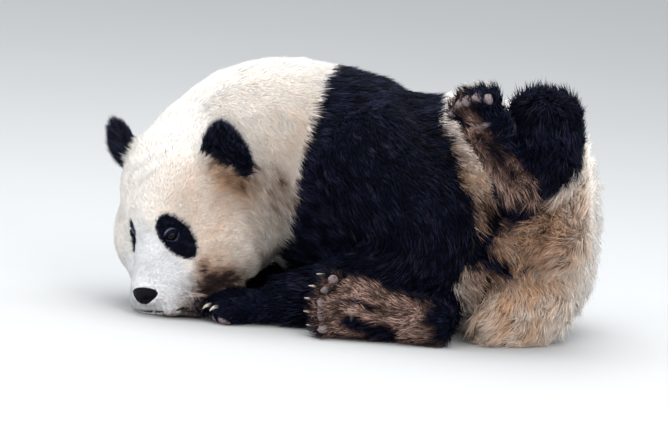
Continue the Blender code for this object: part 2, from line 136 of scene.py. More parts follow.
COATS: dict[Flesh, Coat] = {
    Flesh.HEAD: Coat(0.013, 0.0060, 0.00085, 18, 250000),
    Flesh.NECK: Coat(0.019, 0.0090, 0.00105, 19, 230000),
    Flesh.SHOULDERS: Coat(0.024, 0.0110, 0.00150, 22, 85000, 1.0),
    Flesh.TRUNK: Coat(0.028, 0.0120, 0.00160, 23, 80000),
    Flesh.TAIL: Coat(0.036, 0.0140, 0.00150, 21, 120000),
    Flesh.THIGH: Coat(0.030, 0.0125, 0.00150, 22, 120000),
    Flesh.EAR_LEFT: Coat(0.016, 0.0045, 0.00100, 34, 330000, 1.0),
    Flesh.EAR_RIGHT: Coat(0.016, 0.0045, 0.00100, 34, 330000, 1.0),
    Flesh.ARM_LEFT: Coat(0.023, 0.0095, 0.00150, 22, 90000, 1.0),
    Flesh.ARM_RIGHT: Coat(0.023, 0.0095, 0.00150, 22, 80000, 1.0),
    Flesh.PAW_LEFT: Coat(0.013, 0.0045, 0.00120, 24, 120000, 1.0),
    Flesh.PAW_RIGHT: Coat(0.013, 0.0045, 0.00120, 24, 120000, 1.0),
    Flesh.LEG_LEFT: Coat(0.027, 0.0125, 0.00150, 25, 100000, 1.0),
    Flesh.LEG_RIGHT: Coat(0.024, 0.0095, 0.00150, 24, 85000, 1.0),
    Flesh.FOOT_LEFT: Coat(0.018, 0.0060, 0.00120, 27, 140000, 1.0),
    Flesh.FOOT_RIGHT: Coat(0.018, 0.0060, 0.00120, 27, 140000, 1.0),
}


# how much each rule changes towards the tip of the muzzle, as a share of itself
MUZZLE_CHANGES = {"length": -0.50, "depth": -0.62, "width": -0.22, "lift": -0.15, "density": 0.6}


@dataclass(frozen=True)
class HeadFrame:
    """Place of the head: X to the nose, Y to the left ear, Z to the crown, in design units."""

    centre: Triple = (-31.8, -5.5, 17.8)
    forward: Triple = (-0.477, -0.672, -0.566)
    left: Triple = (0.746, -0.650, 0.146)
    scale: float = 1.05

    def axes(self) -> np.ndarray:
        """Rows of the three axes."""
        x_axis = unit(np.array(self.forward))
        z_axis = unit(np.cross(x_axis, np.array(self.left)))
        return np.array((x_axis, np.cross(z_axis, x_axis), z_axis))

    def local(self, points: np.ndarray) -> np.ndarray:
        """Head coordinates of points in the row frame."""
        return (points - spot(self.centre)) / (self.scale * CM) @ self.axes().T

    def world(self, points: np.ndarray) -> np.ndarray:
        """Row-frame points of head coordinates."""
        return np.asarray(points, float) @ self.axes() * (self.scale * CM) + spot(self.centre)

    def turn(self, direction: Triple) -> np.ndarray:
        """Row-frame direction of one given along the head's axes."""
        return unit(np.asarray(direction, float) @ self.axes())


HEAD = HeadFrame()


@dataclass(frozen=True)
class Foot:
    """A foot from heel to toes with its sole facing one way, in design centimetres."""

    heel: Triple
    toes: Triple
    sole: Triple
    half_width: float
    toe_spread: float = 0.405
    toe_line: float = 0.93

    def length(self) -> float:
        """Heel to toes."""
        return float(np.linalg.norm(np.subtract(self.toes, self.heel)))

    def axes(self) -> np.ndarray:
        """Rows: forward, to the side, out of the back of the foot."""
        x_axis = unit(np.subtract(self.toes, self.heel))
        side = np.cross(-np.array(self.sole), x_axis)
        z_axis = unit(np.cross(x_axis, side))
        return np.array((x_axis, np.cross(z_axis, x_axis), z_axis))

    def local(self, points: np.ndarray) -> np.ndarray:
        """Foot coordinates, in centimetres, of points in the row frame."""
        return (points - spot(self.heel)) / CM @ self.axes().T

    def world(self, points: np.ndarray) -> np.ndarray:
        """Row-frame points of foot coordinates."""
        return np.asarray(points, float) @ self.axes() * CM + spot(self.heel)

    def toe_sites(self) -> list[tuple[float, float]]:
        """Where the five toes sit: along and across."""
        sites = []
        for k in range(-2, 3):
            along = self.length() * self.toe_line - 0.32 * k * k
            sites.append((along, k * self.toe_spread * self.half_width))
        return sites


FEET: dict[Flesh, Foot] = {
    Flesh.PAW_LEFT: Foot((-15.0, -13.8, 3.5), (-27.0, -15.6, 2.9), (0.0, 0.0, -1.0), 4.9),
    Flesh.PAW_RIGHT: Foot((-19.0, 13.4, 3.5), (-30.0, 10.0, 2.9), (0.0, 0.0, -1.0), 4.9),
    Flesh.FOOT_LEFT: Foot((25.4, -26.2, 29.4), (14.6, -27.6, 46.8), (-0.42, -0.90, -0.10), 4.9),
    Flesh.FOOT_RIGHT: Foot((13.2, -22.8, 3.9), (-9.5, -23.6, 6.6), (0.05, -1.0, 0.06), 5.7),
}

# the lie of the hair: for each region one or more runs of points that the hair follows, root to tip
BACK_LINE = ((-34, -2, 22), (-20, 0.5, 27), (-5, 1.2, 27), (10, 2, 24), (24, 1, 22), (40, -2, 16))
LIE: dict[Flesh, tuple] = {
    Flesh.NECK: (BACK_LINE,),
    Flesh.SHOULDERS: (BACK_LINE,),
    Flesh.TRUNK: (BACK_LINE,),
    Flesh.TAIL: (((38, -5, 12), (30.6, -12, 7.6), (25, -15.8, 5.0), (20, -18.5, 1.5)),),
    Flesh.THIGH: (((40, -12, 21), (33, -18, 18), (24, -20, 15), (18, -20, 11)),),
    Flesh.ARM_LEFT: (
        ((-4.5, -10.5, 34), (1, -13, 26.5), (11.8, -15.8, 18)),
        ((12.8, -15.8, 17), (3.5, -13.6, 11), (-8, -13.2, 6.2), (-16, -13.8, 4.2)),
    ),
    Flesh.ARM_RIGHT: (
        ((-6.5, 11, 33), (-4.5, 13.6, 24), (1, 15.8, 14.5)),
        ((2, 15.8, 14), (-6, 16, 7.8), (-14, 14.6, 5.2), (-19, 13.4, 4.2)),
    ),
    Flesh.LEG_LEFT: (
        ((29.5, -13, 22), (29, -16.5, 30), (29.2, -19, 36), (28.0, -20.5, 45)),
        ((28.6, -24.0, 44), (30.0, -26.0, 36), (27.0, -26.5, 30), (24.0, -27.0, 27)),
    ),
    Flesh.LEG_RIGHT: (
        ((24.5, 11, 14.5), (14, 13.2, 11.8), (4, 11.4, 9.2)),
        ((4, 11, 8.8), (8, -3, 6.6), (12.6, -17, 5.2)),
    ),
    Flesh.PAW_LEFT: (((-12, -13.4, 3.6), (-27.0, -15.6, 2.9)),),
    Flesh.PAW_RIGHT: (((-16, 14.4, 3.6), (-30.0, 10.0, 2.9)),),
    Flesh.FOOT_LEFT: (((25.4, -26.2, 29.4), (14.6, -27.6, 46.8)),),
    Flesh.FOOT_RIGHT: (((13.2, -22.8, 3.9), (-9.5, -23.6, 6.6)),),
}
# how strongly the hair of a region also hangs down
DROOP: dict[Flesh, float] = {
    Flesh.NECK: 1.30,
    Flesh.SHOULDERS: 0.55,
    Flesh.TRUNK: 0.70,
    Flesh.TAIL: 0.35,
    Flesh.THIGH: 0.30,
    Flesh.HEAD: 0.25,
    Flesh.LEG_LEFT: 0.10,
}
CHEEK_DROOP = 1.4
# how far the skin rises and falls under the locks of a region, in metres
LOCKS: dict[Flesh, float] = {
    Flesh.THIGH: 0.0032,
    Flesh.TAIL: 0.0030,
    Flesh.TRUNK: 0.0020,
    Flesh.LEG_LEFT: 0.0020,
    Flesh.HEAD: 0.0004,
    Flesh.NECK: 0.0004,
}
LOW_LOCKS = 0.0010   # the same for all the other regions


class Web:
    """The edges of a mesh, used to smooth values over its surface."""

    def __init__(self, mesh: Mesh) -> None:
        """Read the links of a mesh."""
        links = np.empty(len(mesh.edges) * 2, np.int32)
        mesh.edges.foreach_get("vertices", links)
        links = links.reshape(-1, 2)
        self.a = np.concatenate((links[:, 0], links[:, 1]))
        self.b = np.concatenate((links[:, 1], links[:, 0]))
        self.count = len(mesh.vertices)
        self.degree = np.maximum(np.bincount(self.a, minlength=self.count), 1)

    def mean(self, values: np.ndarray) -> np.ndarray:
        """Average of each vertex's neighbours."""
        if values.ndim == 1:
            return np.bincount(self.a, values[self.b], self.count) / self.degree
        return np.stack([self.mean(column) for column in values.T], axis=1)

    def smooth(self, values: np.ndarray, rounds: int, share: float = 0.5) -> np.ndarray:
        """Relax values towards their neighbours' average.

        Args:
            values: one number or vector for each vertex.
            rounds: how many times.
            share: how far each round goes.

        Returns:
            The smoothed values.
        """
        for _ in range(rounds):
            values = values + (self.mean(values) - values) * share
        return values


def read_points(mesh: Mesh) -> np.ndarray:
    """Vertex positions of a mesh."""
    points = np.empty(len(mesh.vertices) * 3)
    mesh.vertices.foreach_get("co", points)
    return points.reshape(-1, 3)


def read_normals(mesh: Mesh) -> np.ndarray:
    """Vertex normals of a mesh."""
    normals = np.empty(len(mesh.vertices) * 3, np.float32)
    mesh.vertex_normals.foreach_get("vector", normals)
    return unit(normals.reshape(-1, 3).astype(float))


def write_points(mesh: Mesh, points: np.ndarray) -> None:
    """Set the vertex positions of a mesh."""
    mesh.vertices.foreach_set("co", np.ascontiguousarray(points, np.float32).ravel())
    mesh.update()


def write_value(mesh: Mesh, name: str, values: np.ndarray) -> None:
    """Store a number or vector for each vertex under a name."""
    kind, key = ("FLOAT", "value") if values.ndim == 1 else ("FLOAT_VECTOR", "vector")
    layer = mesh.attributes.get(name) or mesh.attributes.new(name, kind, "POINT")
    layer.data.foreach_set(key, np.ascontiguousarray(values, np.float32).ravel())


def read_value(mesh: Mesh, name: str) -> np.ndarray:
    """Number stored for each vertex under a name."""
    values = np.empty(len(mesh.vertices), np.float32)
    mesh.attributes[name].data.foreach_get("value", values)
    return values


def read_corners(mesh: Mesh) -> np.ndarray:
    """Vertex numbers of each triangle of a mesh."""
    corners = np.empty(len(mesh.polygons) * 3, np.int32)
    mesh.polygons.foreach_get("vertices", corners)
    return corners.reshape(-1, 3)


@contextmanager
def edited(mesh: Mesh) -> Iterator[BMesh]:
    """Open a mesh to cut and join its faces, and write it back at the end."""
    bm = bmesh.new()
    bm.from_mesh(mesh)
    bm.verts.ensure_lookup_table()
    yield bm
    bm.to_mesh(mesh)
    bm.free()


def cast_tree(mesh: Mesh, points: np.ndarray) -> BVHTree:
    """Tree of a mesh with its vertices at the given places, to cast rays at."""
    return BVHTree.FromPolygons(points.tolist(), [poly.vertices[:] for poly in mesh.polygons])


def new_object(name: str, mesh: Mesh) -> Object:
    """Link a mesh to the scene as an object at the origin."""
    item = bpy.data.objects.new(name, mesh)
    bpy.context.scene.collection.objects.link(item)
    return item


def object_from(name: str, bm: BMesh, material: Material) -> Object:
    """Smooth object in one material from a bmesh, which is used up.

    Args:
        name: name of the object and its mesh.
        bm: bmesh that gets the faces.
        material: its one material.

    Returns:
        The object.
    """
    bmesh.ops.recalc_face_normals(bm, faces=bm.faces)
    if bm.calc_volume(signed=True) < 0.0:
        bmesh.ops.reverse_faces(bm, faces=bm.faces)
    for face in bm.faces:
        face.smooth = True
    mesh = bpy.data.meshes.new(name)
    bm.to_mesh(mesh)
    bm.free()
    mesh.materials.append(material)
    return new_object(name, mesh)


def evaluated(item: Object, name: str) -> Mesh:
    """New mesh of an object as its modifiers leave it."""
    graph = bpy.context.evaluated_depsgraph_get()
    graph.update()
    mesh = bpy.data.meshes.new_from_object(item.evaluated_get(graph))
    mesh.name = name
    return mesh


def along_lines(points: np.ndarray, lines: tuple) -> np.ndarray:
    """Direction of the nearest run of points, blended where two runs are near.

    Args:
        points: rows of positions in the row frame.
        lines: runs of design points, each in the way the hair lies.

    Returns:
        Rows of unit directions.
    """
    total = np.zeros_like(points)
    for line in lines:
        marks = np.array([spot(point) for point in line])
        for start, end in zip(marks, marks[1:]):
            away = np.linalg.norm(off_line(points, start, end), axis=1)
            weight = 1.0 / (away + CM) ** 6
            total += weight[:, None] * 1e-12 * unit(end - start)
    return unit(total)


@dataclass(frozen=True)
class Eye:
    """An eye: the ball, and the opening that the lids leave.

    Sizes are in metres; snap, lid_edge and lid_end are in sizes of the opening.
    """

    node: str
    side: float
    radius: float = 0.0106
    sunk: float = 0.0042
    half_width: float = 0.0094
    half_height: float = 0.0074
    lid: float = 0.0014
    gap: float = 0.0035
    least: float = 0.003
    reach: float = 0.034
    behind: float = -0.006
    marks_reach: float = 0.030
    snap: float = 0.085
    lid_edge: float = 1.45
    lid_end: float = 2.9
    cornea: float = 0.045
    cornea_edge: float = 0.80

    def axes(self) -> np.ndarray:
        """Rows: along the slit, up, and out of the face."""
        out = HEAD.turn((0.80, 0.60 * self.side, 0.05))
        slit = HEAD.turn((-0.78, 0.60 * self.side, 0.17))
        slit = unit(slit - out * (slit @ out))
        up = np.cross(out, slit) * self.side
        return np.array((slit, up, out))

    def centre(self) -> np.ndarray:
        """Middle of the eyeball."""
        low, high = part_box(self.node)
        return np.array((low + high) / 2) - self.axes()[2] * self.sunk

    def opening(self, flat: np.ndarray) -> np.ndarray:
        """How far out of the opening a place is, 1 at the edge of the lids."""
        along = flat[:, 0] / self.half_width
        bend = 1.0 - 0.36 * np.clip(np.abs(along), 0.0, 1.0) ** 1.8
        return np.sqrt(along**2 + (flat[:, 1] / (self.half_height * bend)) ** 2)

    def lids(self, points: np.ndarray) -> tuple[np.ndarray, np.ndarray]:
        """How far on the bare lids, and how far in the painted highlight along their edge, places are, from 0
        to 1.

        Args:
            points: rows of positions in the row frame.

        Returns:
            Both shares for each point.
        """
        flat = (points - self.centre()) @ self.axes().T
        close = np.linalg.norm(flat, axis=1) < self.marks_reach
        m = self.opening(flat)
        # pale band along the lid edge: a painted highlight, strongest on the upper and lower lids and at the
        # inner corner
        band = ease(m, 0.96, 1.08) * (1.0 - ease(m, 1.10, 1.27))
        rise = flat[:, 1] / self.half_height
        inner = -flat[:, 0] / self.half_width
        strength = np.where(rise > 0.0, ease(rise, 0.25, 1.0), ease(-rise, 0.0, 0.7))
        edge_highlight = band * np.clip(strength * (0.66 + 0.44 * inner), 0.0, 1.0)
        return (1.0 - ease(m, 1.16, 1.36)) * close, edge_highlight * close

    def sculpt(self, points: np.ndarray) -> np.ndarray:
        """Draw the skin over the ball as lids, and in behind it where the eye is open.

        Args:
            points: rows of positions in the row frame.

        Returns:
            The moved points.
        """
        local = (points - self.centre()) @ self.axes().T
        near = (np.linalg.norm(local, axis=1) < self.reach) & (local[:, 2] > self.behind)
        m = self.opening(local)
        edge = near & (np.abs(m - 1.0) < self.snap)
        for _ in range(3):
            local[edge, :2] /= self.opening(local[edge])[:, None]
        m = np.where(edge, 1.0, m)
        across = np.sum(local[:, :2] ** 2, axis=1)
        shell = np.sqrt(np.maximum((self.radius + self.lid) ** 2 - across, self.least**2))
        inner = np.sqrt(np.maximum(self.radius**2 - across, self.least**2)) - self.gap
        depth = np.where(m < 1.0, inner, shell)
        keep = ease(m, self.lid_edge, self.lid_end)
        fresh = depth * (1.0 - keep) + local[:, 2] * keep
        local[:, 2] = np.where(near, fresh, local[:, 2])
        return local @ self.axes() + self.centre()

    def build(self, finish: "EyeFinish") -> Object:
        """Ball with a slightly bulging cornea, shaded by how far each place is from the gaze.

        Args:
            finish: finish of the piece.

        Returns:
            The eyeball.
        """
        bm = bmesh.new()
        bmesh.ops.create_uvsphere(bm, u_segments=48, v_segments=32, radius=self.radius)
        for vert in bm.verts:
            axis = vert.co.normalized().z
            bulge = max(0.0, (axis - self.cornea_edge) / (1.0 - self.cornea_edge))
            vert.co *= 1.0 + self.cornea * bulge * (2.0 - bulge)
        layer = bm.verts.layers.float.new("gaze")
        for vert in bm.verts:
            vert[layer] = math.degrees(math.acos(max(-1.0, min(1.0, vert.co.normalized().z))))
        gaze = Matrix(self.axes().tolist()).transposed().to_4x4()
        gaze.translation = Vector(self.centre())
        bm.transform(gaze)
        item = object_from("eyeball_" + self.node.rsplit("_", maxsplit=1)[-1], bm, finish.material())
        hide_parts(self.node)
        return item


EYES = (Eye("eye_left", 1.0), Eye("eye_right", -1.0))


@dataclass(frozen=True)
class Face:
    """Marks and folds of the face: places in head coordinates, depths in metres."""

    patch_centre: tuple[float, float] = (-2.30, 2.62)
    patch_size: tuple[float, float] = (2.64, 4.12)
    patch_lean: float = 0.21
    patch_right: Triple = (-0.85, 0.66, 0.76)
    hollow: float = 0.0046
    hollow_centre: tuple[float, float] = (-2.75, 3.0)
    hollow_size: tuple[float, float] = (2.5, 4.0)
    mouth_depth: float = 0.0030
    lip_swell: float = 0.0012
    groove_depth: float = 0.0022
    cheek_fold: float = 0.0020
    folds: tuple = (
        (((2.2, 2.6, 13.9), (4.6, -2.6, 12.4)), 0.0022),
        (((4.6, 2.2, 12.4), (6.4, -1.8, 10.9)), 0.0016),
    )
    mouth: tuple = (
        (18.3, 0.0, -7.3),
        (17.9, 2.4, -7.1),
        (16.8, 4.5, -7.7),
        (14.6, 5.7, -8.7),
        (11.8, 6.6, -9.4),
    )

    @staticmethod
    def slant(local: np.ndarray) -> np.ndarray:
        """How far outwards along the slanting cheek places are, the same on both sides."""
        return -0.6 * local[:, 0] + 0.8 * np.abs(local[:, 1])

    def patches(self, local: np.ndarray) -> np.ndarray:
        """How far inside the two eye patches a place is, 1 inside and 0 outside.

        Args:
            local: rows of head coordinates.

        Returns:
            One number for each point, from 0 to 1.
        """
        right = local[:, 1] < 0.0
        across = self.slant(local) - self.patch_centre[0]
        across -= np.where(right, self.patch_right[0], 0.0)
        rise = local[:, 2] - self.patch_centre[1]
        across = across + self.patch_lean * rise
        wide = self.patch_size[0] * np.where(right, self.patch_right[1], 1.0)
        tall = self.patch_size[1] * np.where(right, self.patch_right[2], 1.0)
        m = np.sqrt((across / wide) ** 2 + (rise / tall) ** 2)
        m += 0.030 * ripple(local, 1.6, 31)
        return (1.0 - ease(m, 0.76, 1.24)) * ease(local[:, 0], 5.5, 7.5)

    def hollows(self, points: np.ndarray, normals: np.ndarray) -> np.ndarray:
        """Sink the two sockets beside the bridge of the nose."""
        local = HEAD.local(points)
        flat = np.column_stack((self.slant(local), local[:, 2]))
        m2 = np.sum(((flat - self.hollow_centre) / self.hollow_size) ** 2, axis=1)
        press = self.hollow * np.exp(-m2) * ease(local[:, 0], 5.0, 8.0)
        return points - normals * press[:, None]

    def to_mouth(self, local: np.ndarray) -> tuple[np.ndarray, np.ndarray]:
        """Distance from the line of the mouth, and how far below it a place is.

        Args:
            local: rows of head coordinates.

        Returns:
            Distances and drops, in head units.
        """
        folded = np.column_stack((local[:, 0], np.abs(local[:, 1]), local[:, 2]))
        best = np.full(len(local), 1e9)
        below = np.zeros(len(local))
        for start, end in zip(self.mouth, self.mouth[1:]):
            offset = off_line(folded, start, end)
            away = np.linalg.norm(offset, axis=1)
            closer = away < best
            best = np.where(closer, away, best)
            below = np.where(closer, -offset[:, 2], below)
        return best, below

    def sculpt(self, points: np.ndarray, normals: np.ndarray) -> np.ndarray:
        """Press in the mouth, the groove under the nose and the corners of the muzzle.

        Args:
            points: rows of positions in the row frame.
            normals: unit normals at those points.

        Returns:
            The moved points.
        """
        local = HEAD.local(points)
        away, _ = self.to_mouth(local)
        press = self.mouth_depth * np.exp(-((away / 0.33) ** 2))
        press -= self.lip_swell * np.exp(-(((away - 0.95) / 0.50) ** 2))
        groove = np.exp(-((local[:, 1] / 0.28) ** 2)) * ease(local[:, 0], 16.0, 17.4)
        press += self.groove_depth * groove * ease(-local[:, 2], 4.8, 5.8)
        fold = np.exp(-(((local[:, 0] - 8.6 + 0.35 * np.abs(local[:, 1] - 6.5)) / 1.1) ** 2))
        fold *= ease(np.abs(local[:, 1]), 3.5, 5.5) * ease(-local[:, 2], 0.5, 3.5)
        press += self.cheek_fold * fold
        for (start, end), depth in self.folds:
            away = np.linalg.norm(off_line(local, start, end), axis=1)
            ridge = 0.4 * depth * np.exp(-(((away - 1.4) / 0.7) ** 2))
            press += depth * np.exp(-((away / 0.65) ** 2)) - ridge
        return points - normals * press[:, None]


FACE = Face()


# the animal seen from its left side: the ways across and up, and the way towards the onlooker
SIDE_AXES = np.array(((0.9961, -0.0211, 0.0861), (-0.0817, 0.1588, 0.9839)))
SIDE_TOWARDS = np.array((-0.0345, -0.9871, 0.1564))


def design(points: np.ndarray) -> np.ndarray:
    """Design centimetres of points in the row frame."""
    return (points - spot((0.0, 0.0, 0.0))) / CM


def side_view(points: np.ndarray) -> np.ndarray:
    """Across and up, in design centimetres, of points seen from the animal's left side."""
    return design(points) @ SIDE_AXES.T


@dataclass(frozen=True)
class Dip:
    """A hollow of the left side, along a run seen from there, with painted shade laid into it as black.

    Places and width are in centimetres, the depth is in millimetres and negative for a swelling.
    """

    start: tuple[float, float]
    end: tuple[float, float]
    width: float
    depth: float
    # black share painted into the hollow: painted shade in the creases, under the feet and behind the ankle;
    # at the lower neck and the saddle's edge partly the black coat, partly painted shade
    shade: float = 0.0

    def weight(self, points: np.ndarray, normals: np.ndarray, spread: float = 1.0) -> np.ndarray:
        """How much each place lies in the hollow, from 0 to 1."""
        away = np.linalg.norm(off_line(side_view(points), self.start, self.end), axis=1)
        away = away / (self.width * spread)
        return np.exp(-(away**2)) * ease(normals @ SIDE_TOWARDS, -0.25, 0.25)


# hollows of the left side with painted shade: creases of the haunch, the hollow behind the raised ankle, and
# the arch and creases of both hind feet
DIPS = (
    Dip((-11.4, 17.2), (-14.4, 9.8), 2.0, 0.0, 1.0),
    Dip((23.6, 18.5), (31.2, 20.4), 2.3, 11.0, 1.0),
    Dip((22.0, 14.0), (24.5, 18.5), 1.7, 8.0, 0.95),
    Dip((19.8, 10.6), (21.1, 13.1), 1.5, 4.0, 1.0),
    Dip((14.2, 31.5), (16.8, 21.5), 1.7, 1.0, 1.0),
    Dip((18.2, 22.5), (19.8, 14.5), 1.4, 2.0, 0.80),
    Dip((20.6, 11.6), (25.4, 9.0), 1.5, 11.0, 1.0),
    Dip((25.4, 9.0), (33.0, 10.3), 0.8, 7.0, 0.52),
    Dip((22.5, 6.9), (21.4, 3.3), 0.8, 7.0, 0.60),
    Dip((27.2, 15.4), (33.0, 13.2), 0.9, 5.0, 0.30),
    Dip((26.0, 13.2), (30.5, 12.0), 0.8, 4.0, 0.35),
    Dip((-1.8, -0.6), (6.8, -3.1), 1.7, 7.0, 1.0),
    Dip((-5.9, 3.8), (-2.7, 7.0), 0.8, 4.0, 0.70),
    Dip((-4.0, 0.8), (-2.2, 3.6), 0.9, 3.5, 0.55),
    Dip((-0.8, 2.9), (3.4, 1.4), 1.1, 5.0, 0.75),
    Dip((5.6, 4.6), (8.6, 2.4), 0.9, 3.0, 0.45),
    Dip((-2.0, 5.2), (-2.0, 5.3), 1.9, -3.5, 0.0),
    Dip((-5.2, 1.2), (-5.2, 1.3), 1.6, -3.0, 0.0),
    Dip((8.8, 0.4), (8.8, 0.5), 2.2, -3.5, 0.0),
    Dip((16.8, 35.9), (19.6, 33.4), 0.85, 5.0, 1.0),
    Dip((21.1, 31.9), (27.1, 25.6), 1.5, 1.0, 0.62),
)


@dataclass(frozen=True)
class Knee:
    """Black lobe of the raised knee, an ellipse seen from the animal's left side."""

    centre: tuple[float, float] = (27.6, 33.2)
    half: tuple[float, float] = (12.0, 12.9)

    def inside(self, points: np.ndarray) -> np.ndarray:
        """How far inside the black lobe a place is, from 0 to 1."""
        u, v = ((side_view(points) - self.centre) / self.half).T
        m = np.where(v > 0.0, np.abs(u), np.hypot(u, v))
        return 1.0 - ease(m, 0.94, 1.06)


KNEE = Knee()


@dataclass(frozen=True)
class Stain:
    """A soft patch of earth, dust or darker hair, in some places painted shade, in centimetres or in head
    coordinates.
    """

    centre: Triple
    radius: float
    strength: float


BROWN = (
    Stain((30.0, -23.0, 20.5), 5.8, 0.54),
    Stain((35.5, -20.5, 17.5), 4.0, 0.42),
    Stain((21.5, -20.0, 15.5), 3.4, 0.78),
    Stain((24.0, -22.0, 21.5), 4.6, 0.72),
    Stain((35.0, -21.0, 20.0), 4.2, 0.35),
    # these three: painted shadow in the hollows at the top of the thigh, under the raised knee
    Stain((22.4, -21.7, 26.0), 4.0, 0.75),
    Stain((27.0, -24.0, 26.5), 3.6, 0.75),
    Stain((31.5, -24.0, 26.0), 3.0, 0.60),
    Stain((20.5, -20.0, 12.5), 3.8, 0.95),
    Stain((17.5, -17.0, 8.0), 4.4, 0.58),
    Stain((19.0, -16.0, 4.0), 3.4, 0.50),
    Stain((27.0, -20.0, 15.8), 3.0, 0.35),
    Stain((9.8, -13.8, 34.8), 2.6, 0.50),
    Stain((17.5, -19.0, 24.6), 3.2, 0.72),
    Stain((15.8, -18.0, 29.5), 2.6, 0.46),
    Stain((-18.5, -15.2, 25.2), 3.6, 0.36),
    Stain((-17.0, -15.4, 21.0), 3.0, 0.36),
)
TAN = (
    Stain((30.0, -20.0, 14.0), 10.0, 0.88),
    Stain((30.0, -22.0, 24.0), 8.0, 0.90),
    Stain((16.2, -18.0, 28.0), 4.5, 0.60),
    Stain((20.0, -20.0, 20.0), 8.0, 0.80),
    Stain((16.0, -16.0, 32.0), 6.0, 0.40),
    Stain((27.0, -17.0, 6.0), 9.0, 0.72),
    Stain((-14.0, -11.0, 33.0), 8.0, 0.40),
)
FACE_BROWN = (
    Stain((-0.1, 9.7, 10.3), 1.5, 0.50),
    Stain((-0.2, 10.5, 9.2), 1.6, 0.52),
    Stain((-0.2, 11.4, 7.6), 1.7, 0.56),
    Stain((-0.5, 12.0, 5.9), 1.7, 0.58),
    Stain((-1.6, 12.6, 4.9), 1.5, 0.52),
    Stain((-3.2, 13.9, 5.7), 1.6, 0.40),
    Stain((-4.0, 16.3, 4.0), 2.4, 0.40),
    Stain((-4.6, 17.8, 2.2), 2.8, 0.40),
    Stain((-3.6, 18.0, -0.6), 3.2, 0.36),
    Stain((10.4, 9.2, -3.4), 2.2, 0.38),
    # from here down: brown hair along the lower jaw deepening into painted shade under it; the stains at the
    # chin and below the mouth are painted shade alone
    Stain((11.3, 8.6, -5.6), 2.7, 0.92),
    Stain((11.8, 7.5, -8.0), 3.0, 1.00),
    Stain((9.4, 10.2, -6.9), 2.9, 0.97),
    Stain((13.4, 6.8, -8.2), 1.5, 0.90),
    Stain((8.2, 9.2, -10.0), 3.8, 0.95),
    Stain((13.4, 5.0, -9.6), 2.4, 0.95),
    Stain((16.6, 2.6, -9.2), 2.6, 0.80),
    Stain((15.6, 4.9, -7.0), 1.8, 0.42),
    Stain((11.0, 3.0, -11.5), 4.5, 0.90),
    Stain((3.0, 12.0, 2.0), 6.5, 0.18),
    Stain((3.0, 14.2, -7.6), 3.6, 0.30),
)
FACE_TAN = (
    Stain((-0.2, 11.0, 8.2), 3.2, 0.90),
    Stain((-1.0, 12.4, 5.4), 3.2, 0.90),
    Stain((4.4, 8.0, 7.4), 4.8, 0.34),
    Stain((3.2, 12.0, 2.6), 5.0, 0.30),
    Stain((7.6, 10.4, 0.6), 3.6, 0.32),
    Stain((8.0, 4.6, 7.0), 3.6, 0.22),
    Stain((10.4, 9.4, -3.4), 3.4, 0.70),
    Stain((3.0, 13.0, -6.0), 6.0, 0.18),
    Stain((-6.0, 14.0, 0.0), 7.0, 0.14),
)


def gather(stains: tuple[Stain, ...], points: np.ndarray, faces: tuple[Stain, ...]) -> np.ndarray:
    """Strength of a set of stains at each point, from 0 to 1.

    Args:
        stains: marks given by places on the body.
        points: rows of positions in the row frame.
        faces: marks given in head coordinates.

    Returns:
        One number for each point.
    """
    clear = np.ones(len(points))
    for places, marks in ((design(points), stains), (HEAD.local(points), faces)):
        for stain in marks:
            away = np.linalg.norm(places - stain.centre, axis=1) / stain.radius
            clear *= 1.0 - stain.strength * np.exp(-(away**2))
    return 1.0 - clear


def ripple(points: np.ndarray, size: float, seed: int) -> np.ndarray:
    """Soft random field from -1 to 1 with features of about the given size.

    Args:
        points: rows of positions in the row frame.
        size: size of the features, in the points' own unit.
        seed: number that picks the field.

    Returns:
        One number for each point.
    """
    rng = np.random.default_rng(seed)
    waves = 14
    total = np.zeros(len(points))
    for _ in range(waves):
        direction = unit(rng.normal(size=3))
        pitch = 2.0 * math.pi / (size * rng.uniform(0.6, 1.6))
        total += np.sin(points @ direction * pitch + rng.uniform(0.0, 2.0 * math.pi))
    return total / math.sqrt(waves) / 1.2


